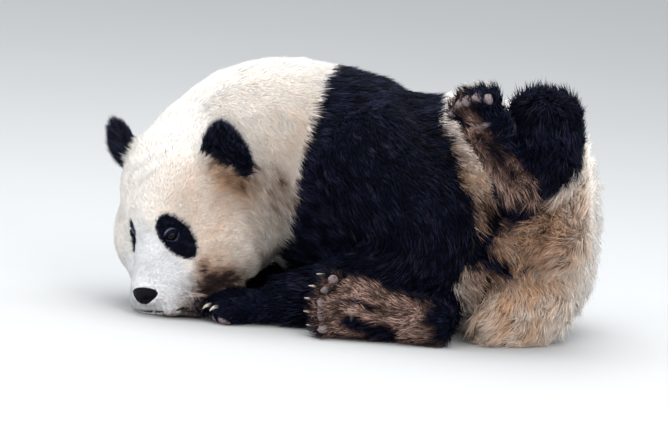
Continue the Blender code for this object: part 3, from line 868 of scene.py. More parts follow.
@dataclass(frozen=True)
class Skin:
    """The skin of the whole animal, with every value that the coat reads from it."""

    cell: float = 0.0056
    bridge: float = 0.0007
    soften: int = 30
    level: int = 45
    fine_reach: Triple = (0.030, 0.021, 0.0165)
    most_depth: float = 0.17
    floor_gap: float = 0.0012
    nose_place: Triple = (19.5, 0.0, -1.5)
    ray_length: float = 0.12

    def merged(self) -> Object:
        """Copies of the nodes of flesh and the nose, swollen until they touch, in one object.

        Returns:
            The object.
        """
        whole = bmesh.new()
        for name in (*[part.value for part in Flesh], "nose"):
            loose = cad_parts[name].data.copy()
            with edited(loose) as bm:
                bmesh.ops.remove_doubles(bm, verts=bm.verts, dist=1e-6)
                bm.normal_update()
                for vert, move in [(vert, vert.normal * self.bridge) for vert in bm.verts]:
                    vert.co += move
            whole.from_mesh(loose)
            bpy.data.meshes.remove(loose)
        mesh = bpy.data.meshes.new("skin")
        whole.to_mesh(mesh)
        whole.free()
        return new_object("skin", mesh)

    def fused(self) -> Object:
        """One closed surface over all the flesh, relaxed without shrinking.

        Returns:
            The object.
        """
        item = self.merged()
        remesh = item.modifiers.new("fuse", "REMESH")
        remesh.mode = "VOXEL"
        remesh.voxel_size = self.cell
        fused = evaluated(item, item.name)
        item.modifiers.clear()
        item.data = fused
        self.drop_crumbs(item.data)
        self.relax(item.data, self.soften)
        self.fill_creases(item.data)
        return item

    @staticmethod
    def drop_crumbs(mesh: Mesh) -> None:
        """Keep only the outer body, without the small hollows between the pieces.

        Args:
            mesh: mesh that is worked on.
        """
        web = Web(mesh)
        group = np.arange(web.count)
        while True:
            low = group.copy()
            np.minimum.at(low, web.a, group[web.b])
            low = low[low]
            if np.array_equal(low, group):
                break
            group = low
        names, counts = np.unique(group, return_counts=True)
        with edited(mesh) as bm:
            loose = [bm.verts[i] for i in np.flatnonzero(group != names[np.argmax(counts)])]
            bmesh.ops.delete(bm, geom=loose, context="VERTS")

    @staticmethod
    def relax(mesh: Mesh, rounds: int) -> None:
        """Smooth a mesh, pushing back out as much as smoothing pulls in."""
        web = Web(mesh)
        points = read_points(mesh)
        for _ in range(rounds):
            points = points + (web.mean(points) - points) * 0.55
            points = points - (web.mean(points) - points) * 0.57
        write_points(mesh, points)

    def fill_creases(self, mesh: Mesh) -> None:
        """Let the tight creases where one muscle meets the next rise level with the body.

        Args:
            mesh: mesh that is worked on.
        """
        web = Web(mesh)
        points = read_points(mesh)
        body = in_parts(self.regions(points), Flesh.NECK, Flesh.SHOULDERS, Flesh.TRUNK, *ARMS)
        soft = web.smooth(body * ease(points[:, 2], 0.10, 0.20), 6)
        for _ in range(self.level):
            write_points(mesh, points)
            normals = read_normals(mesh)
            rise = np.sum((web.mean(points) - points) * normals, axis=1)
            points = points + normals * (np.maximum(rise, 0.0) * soft)[:, None]
        write_points(mesh, web.smooth(points, 2, 0.3))

    def refine(self, mesh: Mesh) -> None:
        """Halve the cells on the face, again round the eyes and the mouth, and again at the lids.

        Args:
            mesh: mesh that is worked on.
        """
        for level in range(len(self.fine_reach)):
            wanted = self.fine_zone(read_points(mesh), level)
            with edited(mesh) as bm:
                faces = [face for face in bm.faces if any(wanted[vert.index] for vert in face.verts)]
                edges = list({edge for face in faces for edge in face.edges})
                bmesh.ops.subdivide_edges(bm, edges=edges, cuts=1, use_grid_fill=True)
                bmesh.ops.triangulate(bm, faces=[face for face in bm.faces if len(face.verts) > 4])
        with edited(mesh) as bm:
            bmesh.ops.triangulate(bm, faces=bm.faces)

    def fine_zone(self, points: np.ndarray, level: int) -> np.ndarray:
        """Which vertices lie where the skin needs finer cells.

        Args:
            points: rows of positions in the row frame.
            level: 0 for the face, 1 for eyes and mouth, 2 for the lids.

        Returns:
            True where they do.
        """
        local = HEAD.local(points)
        wanted = np.zeros(len(points), bool)
        for eye in EYES:
            wanted |= np.linalg.norm(points - eye.centre(), axis=1) < self.fine_reach[level]
        if level == 0:
            wanted |= (local[:, 0] > 7.0) & (np.abs(local[:, 1]) < 8.0)
        if level == 1:
            wanted |= (FACE.to_mouth(local)[0] < 0.9) & (local[:, 0] > 10.0)
        return wanted

    @staticmethod
    def regions(points: np.ndarray) -> np.ndarray:
        """Number of the node of flesh nearest to each vertex.

        Args:
            points: rows of positions in the row frame.

        Returns:
            Each number's place is that of the node in Flesh.
        """
        corners, faces, owner = [], [], []
        for number, part in enumerate(Flesh):
            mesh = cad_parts[part.value].data
            start = len(corners)
            corners.extend(vert.co.copy() for vert in mesh.vertices)
            faces.extend([start + i for i in poly.vertices] for poly in mesh.polygons)
            owner.extend([number] * len(mesh.polygons))
        tree = BVHTree.FromPolygons(corners, faces)
        found = [tree.find_nearest(point)[2] for point in points.tolist()]
        return np.array(owner)[np.array(found)]

    @staticmethod
    def rule(region: np.ndarray, name: str) -> np.ndarray:
        """One number of the coat rules for each vertex."""
        return np.array([getattr(COATS[part], name) for part in Flesh])[region]

    def lie(self, points: np.ndarray, normals: np.ndarray, region: np.ndarray, web: Web) -> np.ndarray:
        """Direction in which the hair lies at each vertex, in the surface.

        Args:
            points: rows of positions in the row frame.
            normals: unit normals at those points.
            region: number of the node of flesh at each point.
            web: edges of the skin, to smooth over.

        Returns:
            Rows of unit directions.
        """
        flow = np.zeros_like(points)
        for number, part in enumerate(Flesh):
            here = region == number
            if part is Flesh.HEAD:
                flow[here] = unit(points[here] - HEAD.world(self.nose_place))
            elif part in EARS:
                side = 1.0 if part is Flesh.EAR_LEFT else -1.0
                flow[here] = HEAD.turn((0.05, side * 0.40, 0.93))
            else:
                flow[here] = along_lines(points[here], LIE[part])
            slope = 1.0 - np.abs(normals[here, 2]) ** 2
            flow[here, 2] -= DROOP.get(part, 0.0) * slope
        cheek = ease(-HEAD.local(points)[:, 0], -6.0, 4.0) * in_parts(region, Flesh.HEAD)
        flow[:, 2] -= CHEEK_DROOP * cheek * (1.0 - np.abs(normals[:, 2]))
        flow = self.heel_hair(points, flow)
        flow = web.smooth(unit(flow), 14)
        flow -= normals * np.sum(flow * normals, axis=1, keepdims=True)
        return unit(flow)

    @staticmethod
    def heel_tuft(points: np.ndarray) -> np.ndarray:
        """Where the long hair of the raised heel grows, from 0 to 1."""
        away = (FEET[Flesh.FOOT_LEFT].local(points) - (-0.5, 0.0, -2.0)) / (6.0, 6.0, 5.0)
        return 1.0 - ease(np.linalg.norm(away, axis=1), 0.45, 1.0)

    @staticmethod
    def heel_hair(points: np.ndarray, flow: np.ndarray) -> np.ndarray:
        """Turn the hair of the raised sole back towards the heel and away from the leg.

        Args:
            points: rows of positions in the row frame.
            flow: direction of the hair at each point.

        Returns:
            The turned directions.
        """
        local = FEET[Flesh.FOOT_LEFT].local(points)
        inside = (np.abs(local[:, 1]) < 6.5) & (np.abs(local[:, 2]) < 6.0)
        weight = inside * ease(-local[:, 2], -0.5, 1.5) * ease(local[:, 0], -4.0, -1.0)
        weight = weight * (1.0 - ease(local[:, 0], 9.0, 13.0))
        down = unit(np.array((0.62, -0.25, -0.74)))
        return flow * (1.0 - weight[:, None]) + down * weight[:, None]

    def thickness(self, mesh: Mesh, points: np.ndarray, normals: np.ndarray) -> np.ndarray:
        """How thick the body is under each vertex.

        Args:
            mesh: mesh that is worked on.
            points: rows of positions in the row frame.
            normals: unit normals at those points.

        Returns:
            One depth in metres for each vertex.
        """
        tree = cast_tree(mesh, points)
        through = np.full(len(points), 0.2)
        starts = (points - normals * 0.0008).tolist()
        for k, (start, inward) in enumerate(zip(starts, (-normals).tolist())):
            hit = tree.ray_cast(start, inward, self.ray_length)
            if hit[0] is not None:
                through[k] = hit[3]
        return through

    @staticmethod
    def pads(points: np.ndarray) -> np.ndarray:
        """How far inside the bare pads of the feet a place is.

        Args:
            points: rows of positions in the row frame.

        Returns:
            One number for each point, from 0 to 1.
        """
        total = np.zeros(len(points))
        for foot in FEET.values():
            local = foot.local(points)
            under = ease(-local[:, 2], 0.18 * foot.half_width, 0.42 * foot.half_width)
            for along, across in foot.toe_sites():
                away = np.hypot((local[:, 0] - along - 0.5) / 1.35, (local[:, 1] - across) / 0.92)
                total = np.maximum(total, (1.0 - ease(away, 0.75, 1.1)) * under)
            ball = np.hypot(
                (local[:, 0] - 0.70 * foot.length() + 0.05 * local[:, 1] ** 2) / 0.95,
                local[:, 1] / (0.70 * foot.half_width),
            )
            total = np.maximum(total, 0.62 * (1.0 - ease(ball, 0.60, 1.08)) * under)
        return total

    @staticmethod
    def soles(points: np.ndarray) -> np.ndarray:
        """How far on the hairy brown underside of a hind foot a place is.

        Args:
            points: rows of positions in the row frame.

        Returns:
            One number for each point, from 0 to about 1.
        """
        total = np.zeros(len(points))
        for part in HIND_FEET:
            foot = FEET[part]
            along, across, rise = foot.local(points).T
            raised = part is Flesh.FOOT_LEFT
            low = -5.0 if raised else -6.0
            high = 1.0 + 4.2 * (1.0 - ease(along, 3.0, 10.0)) if raised else 6.2
            inside = ease(across, low - 1.4, low + 1.6) * (1.0 - ease(across, high - 2.2, high + 1.4))
            heel = -6.5 if raised else 0.2 + 0.40 * (across + 4.0)
            heel = heel + 2.2 * ripple(points, 0.036, 43)
            inside *= ease(along, heel - 2.4, heel + 3.2) * (along < foot.length() + 3.5)
            inside *= 1.0 - 0.45 * ease(along, 0.70 * foot.length(), 0.90 * foot.length())
            under = ease(-rise, -0.4, 2.4) * (rise > -6.5)
            patchy = 0.94 + 0.20 * ripple(points, 0.040, 41) + 0.22 * ripple(points, 0.016, 42)
            patchy = np.clip(patchy, 0.0, 1.15) * (0.88 if raised else 1.04)
            total = np.maximum(total, under * inside * patchy)
        return total

    @staticmethod
    def retract_claws(points: np.ndarray) -> np.ndarray:
        """Pull back what is left of the claws into the toes.

        Args:
            points: rows of positions in the row frame.

        Returns:
            The moved points.
        """
        for foot in FEET.values():
            local = foot.local(points)
            for along, across in foot.toe_sites():
                root = along + 1.9
                beyond = local[:, 0] - root
                near = (np.abs(local[:, 1] - across) < 0.95) & (beyond > 0.0) & (beyond < 4.5)
                near &= np.abs(local[:, 2]) < 2.2
                local[:, 0] = np.where(near, root + 0.12 * beyond, local[:, 0])
            points = foot.world(local)
        return points

    def hair(self, points: np.ndarray, region: np.ndarray, soles: np.ndarray) -> dict[str, np.ndarray]:
        """The coat's rules at each vertex: short on the muzzle, long in the ruff and at the heel.

        Args:
            points: rows of positions in the row frame.
            region: number of the node of flesh at each point.
            soles: how far on a hairy sole each point is.

        Returns:
            One array for each rule, by its name.
        """
        local = HEAD.local(points)
        muzzle = ease(local[:, 0], 5.0, 15.0) * in_parts(region, Flesh.HEAD)
        ruff = ease(-local[:, 0], -4.5, 2.0) * in_parts(region, Flesh.HEAD, Flesh.NECK)
        coat = {}
        for name, change in MUZZLE_CHANGES.items():
            coat[name] = self.rule(region, name) * (1.0 + change * muzzle)
        length = coat["length"] * (1.0 + 0.6 * ruff * ease(-local[:, 2], -5.0, 3.0))
        coat["length"] = length * (1.0 + 0.25 * soles) * (1.0 + 0.7 * self.heel_tuft(points))
        return coat

    @staticmethod
    def dipped(points: np.ndarray, normals: np.ndarray) -> tuple[np.ndarray, np.ndarray, np.ndarray]:
        """Press in the hollows of the left side, and tell how much painted shade they get: as black in the
        hollow, and as brown round it.

        Args:
            points: rows of positions in the row frame.
            normals: unit normals at those points.

        Returns:
            The moved points, and both shares from 0 to 1.
        """
        shade = np.zeros(len(points))
        brown_hollow_shade = np.zeros(len(points))
        for dip in DIPS:
            weight = dip.weight(points, normals)
            points = points - normals * (0.001 * dip.depth * weight)[:, None]
            shade = np.maximum(shade, dip.shade * weight)
            # a wider brown margin of painted shade round each pressed hollow
            if dip.depth > 0.0:
                brown_hollow_shade = np.maximum(brown_hollow_shade, dip.shade * dip.weight(points, normals, 1.8))
        return points, shade, brown_hollow_shade

    @staticmethod
    def lips(points: np.ndarray, region: np.ndarray) -> np.ndarray:
        """How far on the dark lips, on the painted shade along the underside of the chin, and on the skin
        under the nose a place is.

        Args:
            points: rows of positions in the row frame.
            region: number of the node of flesh at each point.

        Returns:
            One number for each point, from 0 to 1.
        """
        local = HEAD.local(points)
        mouth, below = FACE.to_mouth(local)
        lips_and_chin_shade = (1.0 - ease(mouth, 0.20, 0.55)) * (local[:, 0] > 11.0)
        # the underside of the chin below the mouth, painted dark as shade
        low = ease(-local[:, 2], 8.6, 9.8) * ease(local[:, 0], 9.0, 12.0) * in_parts(region, Flesh.HEAD)
        lips_and_chin_shade = np.maximum(lips_and_chin_shade, 0.75 * low * ease(below, -0.3, 0.6))
        return np.maximum(lips_and_chin_shade, NOSE.inside(local))

    def build(self, finish: "CoatFinish") -> Object:
        """Make the skin, its folds, its map and the values that the coat reads.

        Args:
            finish: finish of the piece.

        Returns:
            The dressed skin.
        """
        item = self.fused()
        mesh = item.data
        self.refine(mesh)
        web = Web(mesh)
        points = self.retract_claws(read_points(mesh))
        write_points(mesh, points)
        normals = web.smooth(read_normals(mesh), 4)
        region = self.regions(points)
        pads = web.smooth(self.pads(points), 1)
        soles = web.smooth(self.soles(points), 3)
        coat = self.hair(points, region, soles)
        bare_lids, lids_highlight = np.max([eye.lids(points) for eye in EYES], axis=0)

        near_floor = ease(points[:, 2], 0.004, 0.045)
        depth = coat["depth"] * (1.0 - pads) * (1.0 - bare_lids) * (0.18 + 0.82 * near_floor)
        most = self.most_depth * self.thickness(mesh, points, normals)
        depth = web.smooth(np.minimum(web.smooth(depth, 10), most), 6)
        rise = web.smooth(self.locks(points, region), 2) * (1.0 - pads) * near_floor
        points = FACE.hollows(points - normals * (depth - rise)[:, None], normals)
        points, shade, brown_hollow_shade = self.dipped(points, normals)
        for eye in EYES:
            points = eye.sculpt(points)
        points = FACE.sculpt(points, normals)
        points[:, 2] = np.maximum(points[:, 2], self.floor_gap)
        write_points(mesh, points)
        normals = read_normals(mesh)

        lips_and_chin_shade = self.lips(points, region)
        bare = np.maximum(np.maximum(pads, bare_lids), NOSE.inside(HEAD.local(points)))
        on_floor = (1.0 - ease(points[:, 2], 0.003, 0.010)) * (normals[:, 2] < -0.6)
        # black takes the painted shade of the hollows, the sole's brown gives way to it, and brown takes the
        # painted shade round them
        values = {
            "black": np.maximum(self.markings(points, region, web), shade),
            "pad": pads,
            "sole": soles * (1.0 - ease(shade, 0.20, 0.85)),
            "lips_and_chin_shade": lips_and_chin_shade,
            "lid_highlight": lids_highlight,
            "brown": 1.0 - (1.0 - self.stained_and_shaded(points)) * (1.0 - 0.85 * brown_hollow_shade),
            "tan": self.warmth(points, region),
            "coat_length": web.smooth(coat["length"], 10) * (1.0 - 0.45 * lips_and_chin_shade),
            "coat_width": web.smooth(coat["width"], 8),
            "coat_lift": np.radians(web.smooth(coat["lift"], 10)),
            "coat_density": coat["density"] * (1.0 - bare) * (1.0 - on_floor) * (1.0 - 0.6 * lips_and_chin_shade),
            "lie": self.lie(points, normals, region, web),
            "region": region.astype(float),
        }
        for name, value in values.items():
            write_value(mesh, name, value)
        self.unwrap(item)
        mesh.polygons.foreach_set("use_smooth", np.ones(len(mesh.polygons), bool))
        mesh.materials.append(finish.material())
        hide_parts(*[part.value for part in Flesh])
        return item

    @staticmethod
    def stained_and_shaded(points: np.ndarray) -> np.ndarray:
        """Brown of earth and dust, with painted shade in the hollows under the knee and under the jaw and
        chin, gathered in streaks.
        """
        streaks = 0.42 * ripple(points, 0.026, 51) + 0.45 * ripple(points, 0.009, 52)
        brown = gather(BROWN, points, FACE_BROWN)
        calm = 0.85 + 0.17 * brown**2
        return np.clip(brown * (calm + streaks * np.clip(1.6 * (1.0 - brown), 0.0, 1.0)), 0.0, 1.0)

    @staticmethod
    def warmth(points: np.ndarray, region: np.ndarray) -> np.ndarray:
        """Yellow of the coat: none on the muzzle, a little everywhere, most where it is stained."""
        muzzle = ease(HEAD.local(points)[:, 0], 9.0, 14.0) * in_parts(region, Flesh.HEAD)
        base = 0.20 - 0.30 * muzzle
        warm = gather(TAN, points, FACE_TAN)
        return base + (1.0 - base) * warm * (1.0 + 0.25 * ripple(points, 0.03, 53))

    @staticmethod
    def locks(points: np.ndarray, region: np.ndarray) -> np.ndarray:
        """How far the skin rises and falls under the locks of the coat, in metres."""
        amount = np.array([LOCKS.get(part, LOW_LOCKS) for part in Flesh])[region]
        return amount * (ripple(points, 0.028, 61) + 0.5 * ripple(points, 0.013, 62))

    def markings(self, points: np.ndarray, region: np.ndarray, web: Web) -> np.ndarray:
        """Black of the limbs, saddle, ears and eye patches, from 0 to 1."""
        black = self.rule(region, "black")
        leg = in_parts(region, Flesh.LEG_LEFT, Flesh.THIGH)
        black = web.smooth(np.where(leg, KNEE.inside(points), black), 6)
        edge = 0.16 * ripple(points, 0.020, 5) + 0.10 * ripple(points, 0.008, 6)
        black = np.clip(black + edge * (1.0 - np.abs(2.0 * black - 1.0)), 0.0, 1.0)
        return np.maximum(black, FACE.patches(HEAD.local(points)))

    @staticmethod
    def unwrap(item: Object) -> None:
        """Lay the skin out flat without overlaps, for the colours to be kept on.

        Args:
            item: object that holds the skin.
        """
        bpy.context.view_layer.objects.active = item
        item.select_set(True)
        item.data.uv_layers.new(name="OFBake")
        bpy.ops.object.mode_set(mode="EDIT")
        bpy.ops.mesh.select_all(action="SELECT")
        bpy.ops.uv.smart_project(angle_limit=math.radians(72), island_margin=0.002)
        bpy.ops.object.mode_set(mode="OBJECT")
        item.select_set(False)


# --- finishes -----------------------------------------------------------------------------------


class Graph:
    """Short hand for building a node tree."""

    def __init__(self, tree: NodeTree) -> None:
        """Keep the tree that is built."""
        self.tree = tree

    def node(self, kind: str, **settings: object) -> Node:
        """Add a node and set its properties."""
        made = self.tree.nodes.new(kind)
        for name, value in settings.items():
            setattr(made, name, value)
        return made

    def link(self, source: object, target: NodeSocket) -> None:
        """Join an output, or set a plain value, to an input."""
        if isinstance(source, NodeSocket):
            self.tree.links.new(source, target)
        else:
            target.default_value = source

    def math(self, operation: str, *values: object, clamp: bool = False) -> NodeSocket:
        """One step of arithmetic."""
        made = self.node("ShaderNodeMath", operation=operation, use_clamp=clamp)
        for socket, value in zip(made.inputs, values):
            self.link(value, socket)
        return made.outputs[0]

    def vector(self, operation: str, *values: object) -> NodeSocket:
        """One step of vector arithmetic."""
        made = self.node("ShaderNodeVectorMath", operation=operation)
        sockets = [made.inputs[0], made.inputs[1]]
        if operation == "SCALE":
            sockets = [made.inputs[0], made.inputs["Scale"]]
        for socket, value in zip(sockets, values):
            self.link(value, socket)
        return made.outputs["Value" if operation in ("LENGTH", "DOT_PRODUCT") else "Vector"]

    def step(self, value: object, low: float, high: float) -> NodeSocket:
        """Smooth step from 0 at low to 1 at high."""
        made = self.node("ShaderNodeMapRange", interpolation_type="SMOOTHSTEP")
        self.link(value, made.inputs["Value"])
        made.inputs["From Min"].default_value = low
        made.inputs["From Max"].default_value = high
        return made.outputs["Result"]

    def mix(self, share: object, first: object, second: object) -> NodeSocket:
        """Blend two colours."""
        made = self.node("ShaderNodeMix", data_type="RGBA")
        self.link(share, made.inputs[0])
        self.link(first, made.inputs[6])
        self.link(second, made.inputs[7])
        return made.outputs[2]

    def stored(self, name: str) -> NodeSocket:
        """Number kept on the surface under a name."""
        return self.node("ShaderNodeAttribute", attribute_name=name).outputs["Fac"]

    def product(self, *values: object) -> NodeSocket:
        """Values multiplied together, from left to right."""
        return functools.reduce(lambda first, second: self.math("MULTIPLY", first, second), values)

    def total(self, *values: object) -> NodeSocket:
        """Values added together, from left to right."""
        return functools.reduce(lambda first, second: self.math("ADD", first, second), values)

    def about(self, value: object, middle: float, scale: object) -> NodeSocket:
        """How far a value is from a middle, times a scale."""
        return self.math("MULTIPLY", self.math("SUBTRACT", value, middle), scale)

    def cracks(self, scale: float, width: float) -> NodeSocket:
        """Net of sunk lines between cells, 0 in a line and 1 on a cell."""
        made = self.node("ShaderNodeTexVoronoi", feature="DISTANCE_TO_EDGE")
        made.inputs["Scale"].default_value = scale
        self.link(self.node("ShaderNodeTexCoord").outputs["Object"], made.inputs["Vector"])
        return self.step(made.outputs["Distance"], 0.0, width)

    def bump(self, height: object, strength: float, distance: float, shader: Node) -> None:
        """Raise a surface by a height, over a distance in metres."""
        made = self.node("ShaderNodeBump")
        made.inputs["Strength"].default_value = strength
        made.inputs["Distance"].default_value = distance
        self.link(height, made.inputs["Height"])
        self.link(made.outputs["Normal"], shader.inputs["Normal"])

    def noise(self, size: float, detail: float = 3.0) -> NodeSocket:
        """Fractal noise with features of about the given size in metres, about 0.5 on average."""
        made = self.node("ShaderNodeTexNoise")
        self.link(self.node("ShaderNodeTexCoord").outputs["Object"], made.inputs["Vector"])
        made.inputs["Scale"].default_value = 1.0 / size
        made.inputs["Detail"].default_value = detail
        return made.outputs["Fac"]


def fresh_material(name: str) -> tuple[Material, Graph, Node]:
    """Material with its graph and its surface shader."""
    material = bpy.data.materials.new(name)
    material.use_nodes = True
    shader = material.node_tree.nodes["Principled BSDF"]
    return material, Graph(material.node_tree), shader


@dataclass(frozen=True)
class CoatFinish:
    """Colours of the coat, read the same way by the skin and by the tufts."""

    name: str
    tufts: bool
    white: tuple = (0.85, 0.845, 0.855, 1.0)
    cream: tuple = (0.945, 0.89, 0.825, 1.0)
    tan: tuple = (0.745, 0.478, 0.312, 1.0)
    brown: tuple = (0.205, 0.105, 0.066, 1.0)
    umber: tuple = (0.040, 0.026, 0.024, 1.0)
    # the blue in the black is a painted reflection of the sky
    black: tuple = (0.0006, 0.0013, 0.0066, 1.0)
    # painted glints: paler bluish tips of some black hairs
    black_glint: tuple = (0.0240, 0.0370, 0.1000, 1.0)
    sole: tuple = (0.062, 0.034, 0.029, 1.0)
    sole_tip: tuple = (0.86, 0.56, 0.455, 1.0)
    # painted highlight along the edge of the lids
    lid_highlight: tuple = (0.150, 0.165, 0.215, 1.0)
    pad: tuple = (0.215, 0.170, 0.175, 1.0)
    # dark lips, also painted as shade under the chin
    lips_and_chin_shade: tuple = (0.020, 0.017, 0.018, 1.0)

    def material(self) -> Material:
        """Build the shader.

        Returns:
            The material.
        """
        material, g, shader = fresh_material(self.name)
        tone = g.stored("tone") if self.tufts else g.noise(0.004)
        along = g.stored("along") if self.tufts else 0.35
        broad = g.noise(0.060)
        small = g.noise(0.012, 4.0)

        warm = g.total(g.stored("tan"), g.about(broad, 0.5, 0.22))
        sway = g.product(g.about(tone, 0.5, g.total(0.12, g.stored("tan"))), 0.65)
        warm = g.math("ADD", warm, sway, clamp=True)
        colour = g.mix(g.step(warm, 0.0, 0.25), self.white, self.cream)
        deep = g.math("MULTIPLY", g.math("SUBTRACT", warm, 0.22), 1.28, clamp=True)
        colour = g.mix(deep, colour, self.tan)
        # brown of stains and of painted shade, deepest as umber
        brown = g.stored("brown")
        swing = g.about(g.total(tone, small), 1.0, 2.4)
        swing = g.product(swing, g.product(brown, g.math("SUBTRACT", 1.10, brown)))
        dirt_and_shade = g.math("SUBTRACT", brown, swing, clamp=True)
        colour = g.mix(dirt_and_shade, colour, self.brown)
        deepest = g.math("SUBTRACT", brown, g.product(swing, 0.5))
        colour = g.mix(g.step(deepest, 0.78, 1.0), colour, self.umber)

        # painted glints on the black coat, at the tips of some hairs
        glint = g.product(g.math("POWER", g.step(tone, 0.25, 1.0), 2.0), along)
        dark = g.mix(glint, self.black, self.black_glint)
        gleam = g.step(g.total(g.product(tone, 0.7), g.product(small, 0.5)), 0.36, 0.86)
        gleam = g.product(gleam, g.step(g.stored("sole"), 0.30, 0.95))
        sole = g.mix(g.product(g.math("POWER", along, 0.6), gleam), self.sole, self.sole_tip)
        shift = g.about(tone, 0.5, 0.60)
        dark = g.mix(g.step(g.total(g.stored("sole"), shift), 0.10, 0.50), dark, sole)
        colour = g.mix(g.step(g.total(g.stored("black"), shift), 0.42, 0.58), colour, dark)
        colour = g.mix(g.step(g.stored("lips_and_chin_shade"), 0.30, 0.70), colour, self.lips_and_chin_shade)
        colour = g.mix(g.stored("lid_highlight"), colour, self.lid_highlight)
        shade = g.total(0.80, g.product(tone, 0.24))
        if self.tufts:
            shade = g.product(shade, g.total(0.78, g.product(along, 0.27)))
        else:
            colour = g.mix(g.step(g.stored("pad"), 0.35, 0.75), colour, self.pad)
            g.bump(self.relief(g), 0.6, 0.0012, shader)
        g.link(g.vector("SCALE", colour, shade), shader.inputs["Base Color"])
        shader.inputs["Roughness"].default_value = 0.52 if self.tufts else 0.70
        shader.inputs["Specular IOR Level"].default_value = 0.09 if self.tufts else 0.05
        return material

    @staticmethod
    def relief(g: Graph) -> NodeSocket:
        """Height of the fine hair on the skin and of the creases on the pads."""
        height = g.node("ShaderNodeMix", data_type="FLOAT")
        g.link(g.stored("pad"), height.inputs[0])
        g.link(g.noise(0.0022, 4.0), height.inputs[2])
        g.link(g.cracks(420.0, 0.25), height.inputs[3])
        return height.outputs[0]


@dataclass(frozen=True)
class EyeFinish:
    """Wet dark eye with a brown iris."""

    pupil: tuple = (0.0006, 0.0006, 0.0006, 1.0)
    iris: tuple = (0.0045, 0.0025, 0.0018, 1.0)
    white: tuple = (0.016, 0.013, 0.013, 1.0)

    def material(self) -> Material:
        """Build the shader.

        Returns:
            The material.
        """
        material, g, shader = fresh_material("wet_eye")
        angle = g.stored("gaze")
        iris = g.mix(g.noise(0.0009), self.iris, self.pupil)
        colour = g.mix(g.step(angle, 15.0, 19.0), self.pupil, iris)
        colour = g.mix(g.step(angle, 38.0, 42.0), colour, self.pupil)
        colour = g.mix(g.step(angle, 46.0, 56.0), colour, self.white)
        g.link(colour, shader.inputs["Base Color"])
        shader.inputs["Roughness"].default_value = 0.07
        shader.inputs["Specular IOR Level"].default_value = 0.14
        return material


@dataclass(frozen=True)
class NoseFinish:
    """Moist grained black skin."""

    dark: tuple = (0.0010, 0.0010, 0.0020, 1.0)
    worn: tuple = (0.0042, 0.0034, 0.0056, 1.0)

    def material(self) -> Material:
        """Build the shader.

        Returns:
            The material.
        """
        material, g, shader = fresh_material("moist_nose")
        g.link(g.mix(g.noise(0.006), self.dark, self.worn), shader.inputs["Base Color"])
        shader.inputs["Specular IOR Level"].default_value = 0.05
        g.link(g.total(0.34, g.product(g.noise(0.004), 0.30)), shader.inputs["Roughness"])
        g.bump(g.cracks(650.0, 0.35), 0.7, 0.0005, shader)
        return material


@dataclass(frozen=True)
class ClawFinish:
    """Horn that pales from a dark root to an ivory tip."""

    root: tuple = (0.040, 0.032, 0.029, 1.0)
    tip: tuple = (0.42, 0.37, 0.31, 1.0)

    def material(self) -> Material:
        """Build the shader.

        Returns:
            The material.
        """
        material, g, shader = fresh_material("claw_horn")
        along = g.total(g.stored("along"), g.about(g.noise(0.003), 0.5, 0.35))
        g.link(g.mix(g.step(along, 0.05, 0.55), self.root, self.tip), shader.inputs["Base Color"])
        shader.inputs["Roughness"].default_value = 0.38
        shader.inputs["Coat Weight"].default_value = 0.25
        return material


@dataclass(frozen=True)
class FloorFinish:
    """Plain pale floor."""

    colour: tuple = (0.40, 0.40, 0.395, 1.0)

    def material(self) -> Material:
        """Build the shader."""
        material, g, shader = fresh_material("pale_floor")
        light = tuple(min(1.0, value * 1.04) for value in self.colour[:3]) + (1.0,)
        g.link(g.mix(g.noise(0.35), self.colour, light), shader.inputs["Base Color"])
        shader.inputs["Roughness"].default_value = 0.85
        return material


# --- tufts --------------------------------------------------------------------------------------


@dataclass(frozen=True)
class Fleece:
    """One piece of the coat: which regions it covers and how many tufts it has."""

    name: str
    parts: tuple[Flesh, ...]
    tufts: int
    slot: str
    clump: float
    clump_size: float
    stray: float
    seed: int
    bends: int = 2
    swirl: float = 0.20
    head_span: tuple[float, float] = (-FAR, FAR)


HAUNCH = (Flesh.THIGH, Flesh.TAIL, Flesh.LEG_LEFT)
HEAD_AND_EARS = (Flesh.HEAD, *EARS)
FLEECES = (
    Fleece("coat_face", (Flesh.HEAD,), 46000, "face_fur", 0.22, 0.0065, 0.10, 11, 1, head_span=(4.0, FAR)),
    Fleece("coat_cheeks", HEAD_AND_EARS, 46000, "face_fur", 0.44, 0.0080, 0.15, 12, 1, head_span=(-FAR, 4.0)),
    Fleece("coat_neck", (Flesh.NECK,), 46000, "white_coat", 0.26, 0.0100, 0.13, 13, 1),
    Fleece("coat_shoulders", (Flesh.SHOULDERS,), 18500, "black_coat", 0.40, 0.015, 0.20, 14),
    Fleece("coat_trunk", (Flesh.TRUNK,), 18500, "white_coat", 0.45, 0.018, 0.22, 15),
    Fleece("coat_haunch", HAUNCH, 18600, "white_coat", 0.62, 0.021, 0.22, 16, swirl=0.45),
    Fleece("coat_forelegs", (*ARMS, *PAWS), 18500, "black_coat", 0.42, 0.015, 0.20, 17),
    Fleece("coat_feet", (Flesh.LEG_RIGHT, *HIND_FEET), 18500, "paw_fur", 0.50, 0.013, 0.24, 18, swirl=0.35),
)
# values of the skin that the finished tufts no longer need
SPENT = ("out", "root_map", "patch", "lie", "coat_length", "coat_width", "coat_lift", "coat_density",
         "region", "pad")


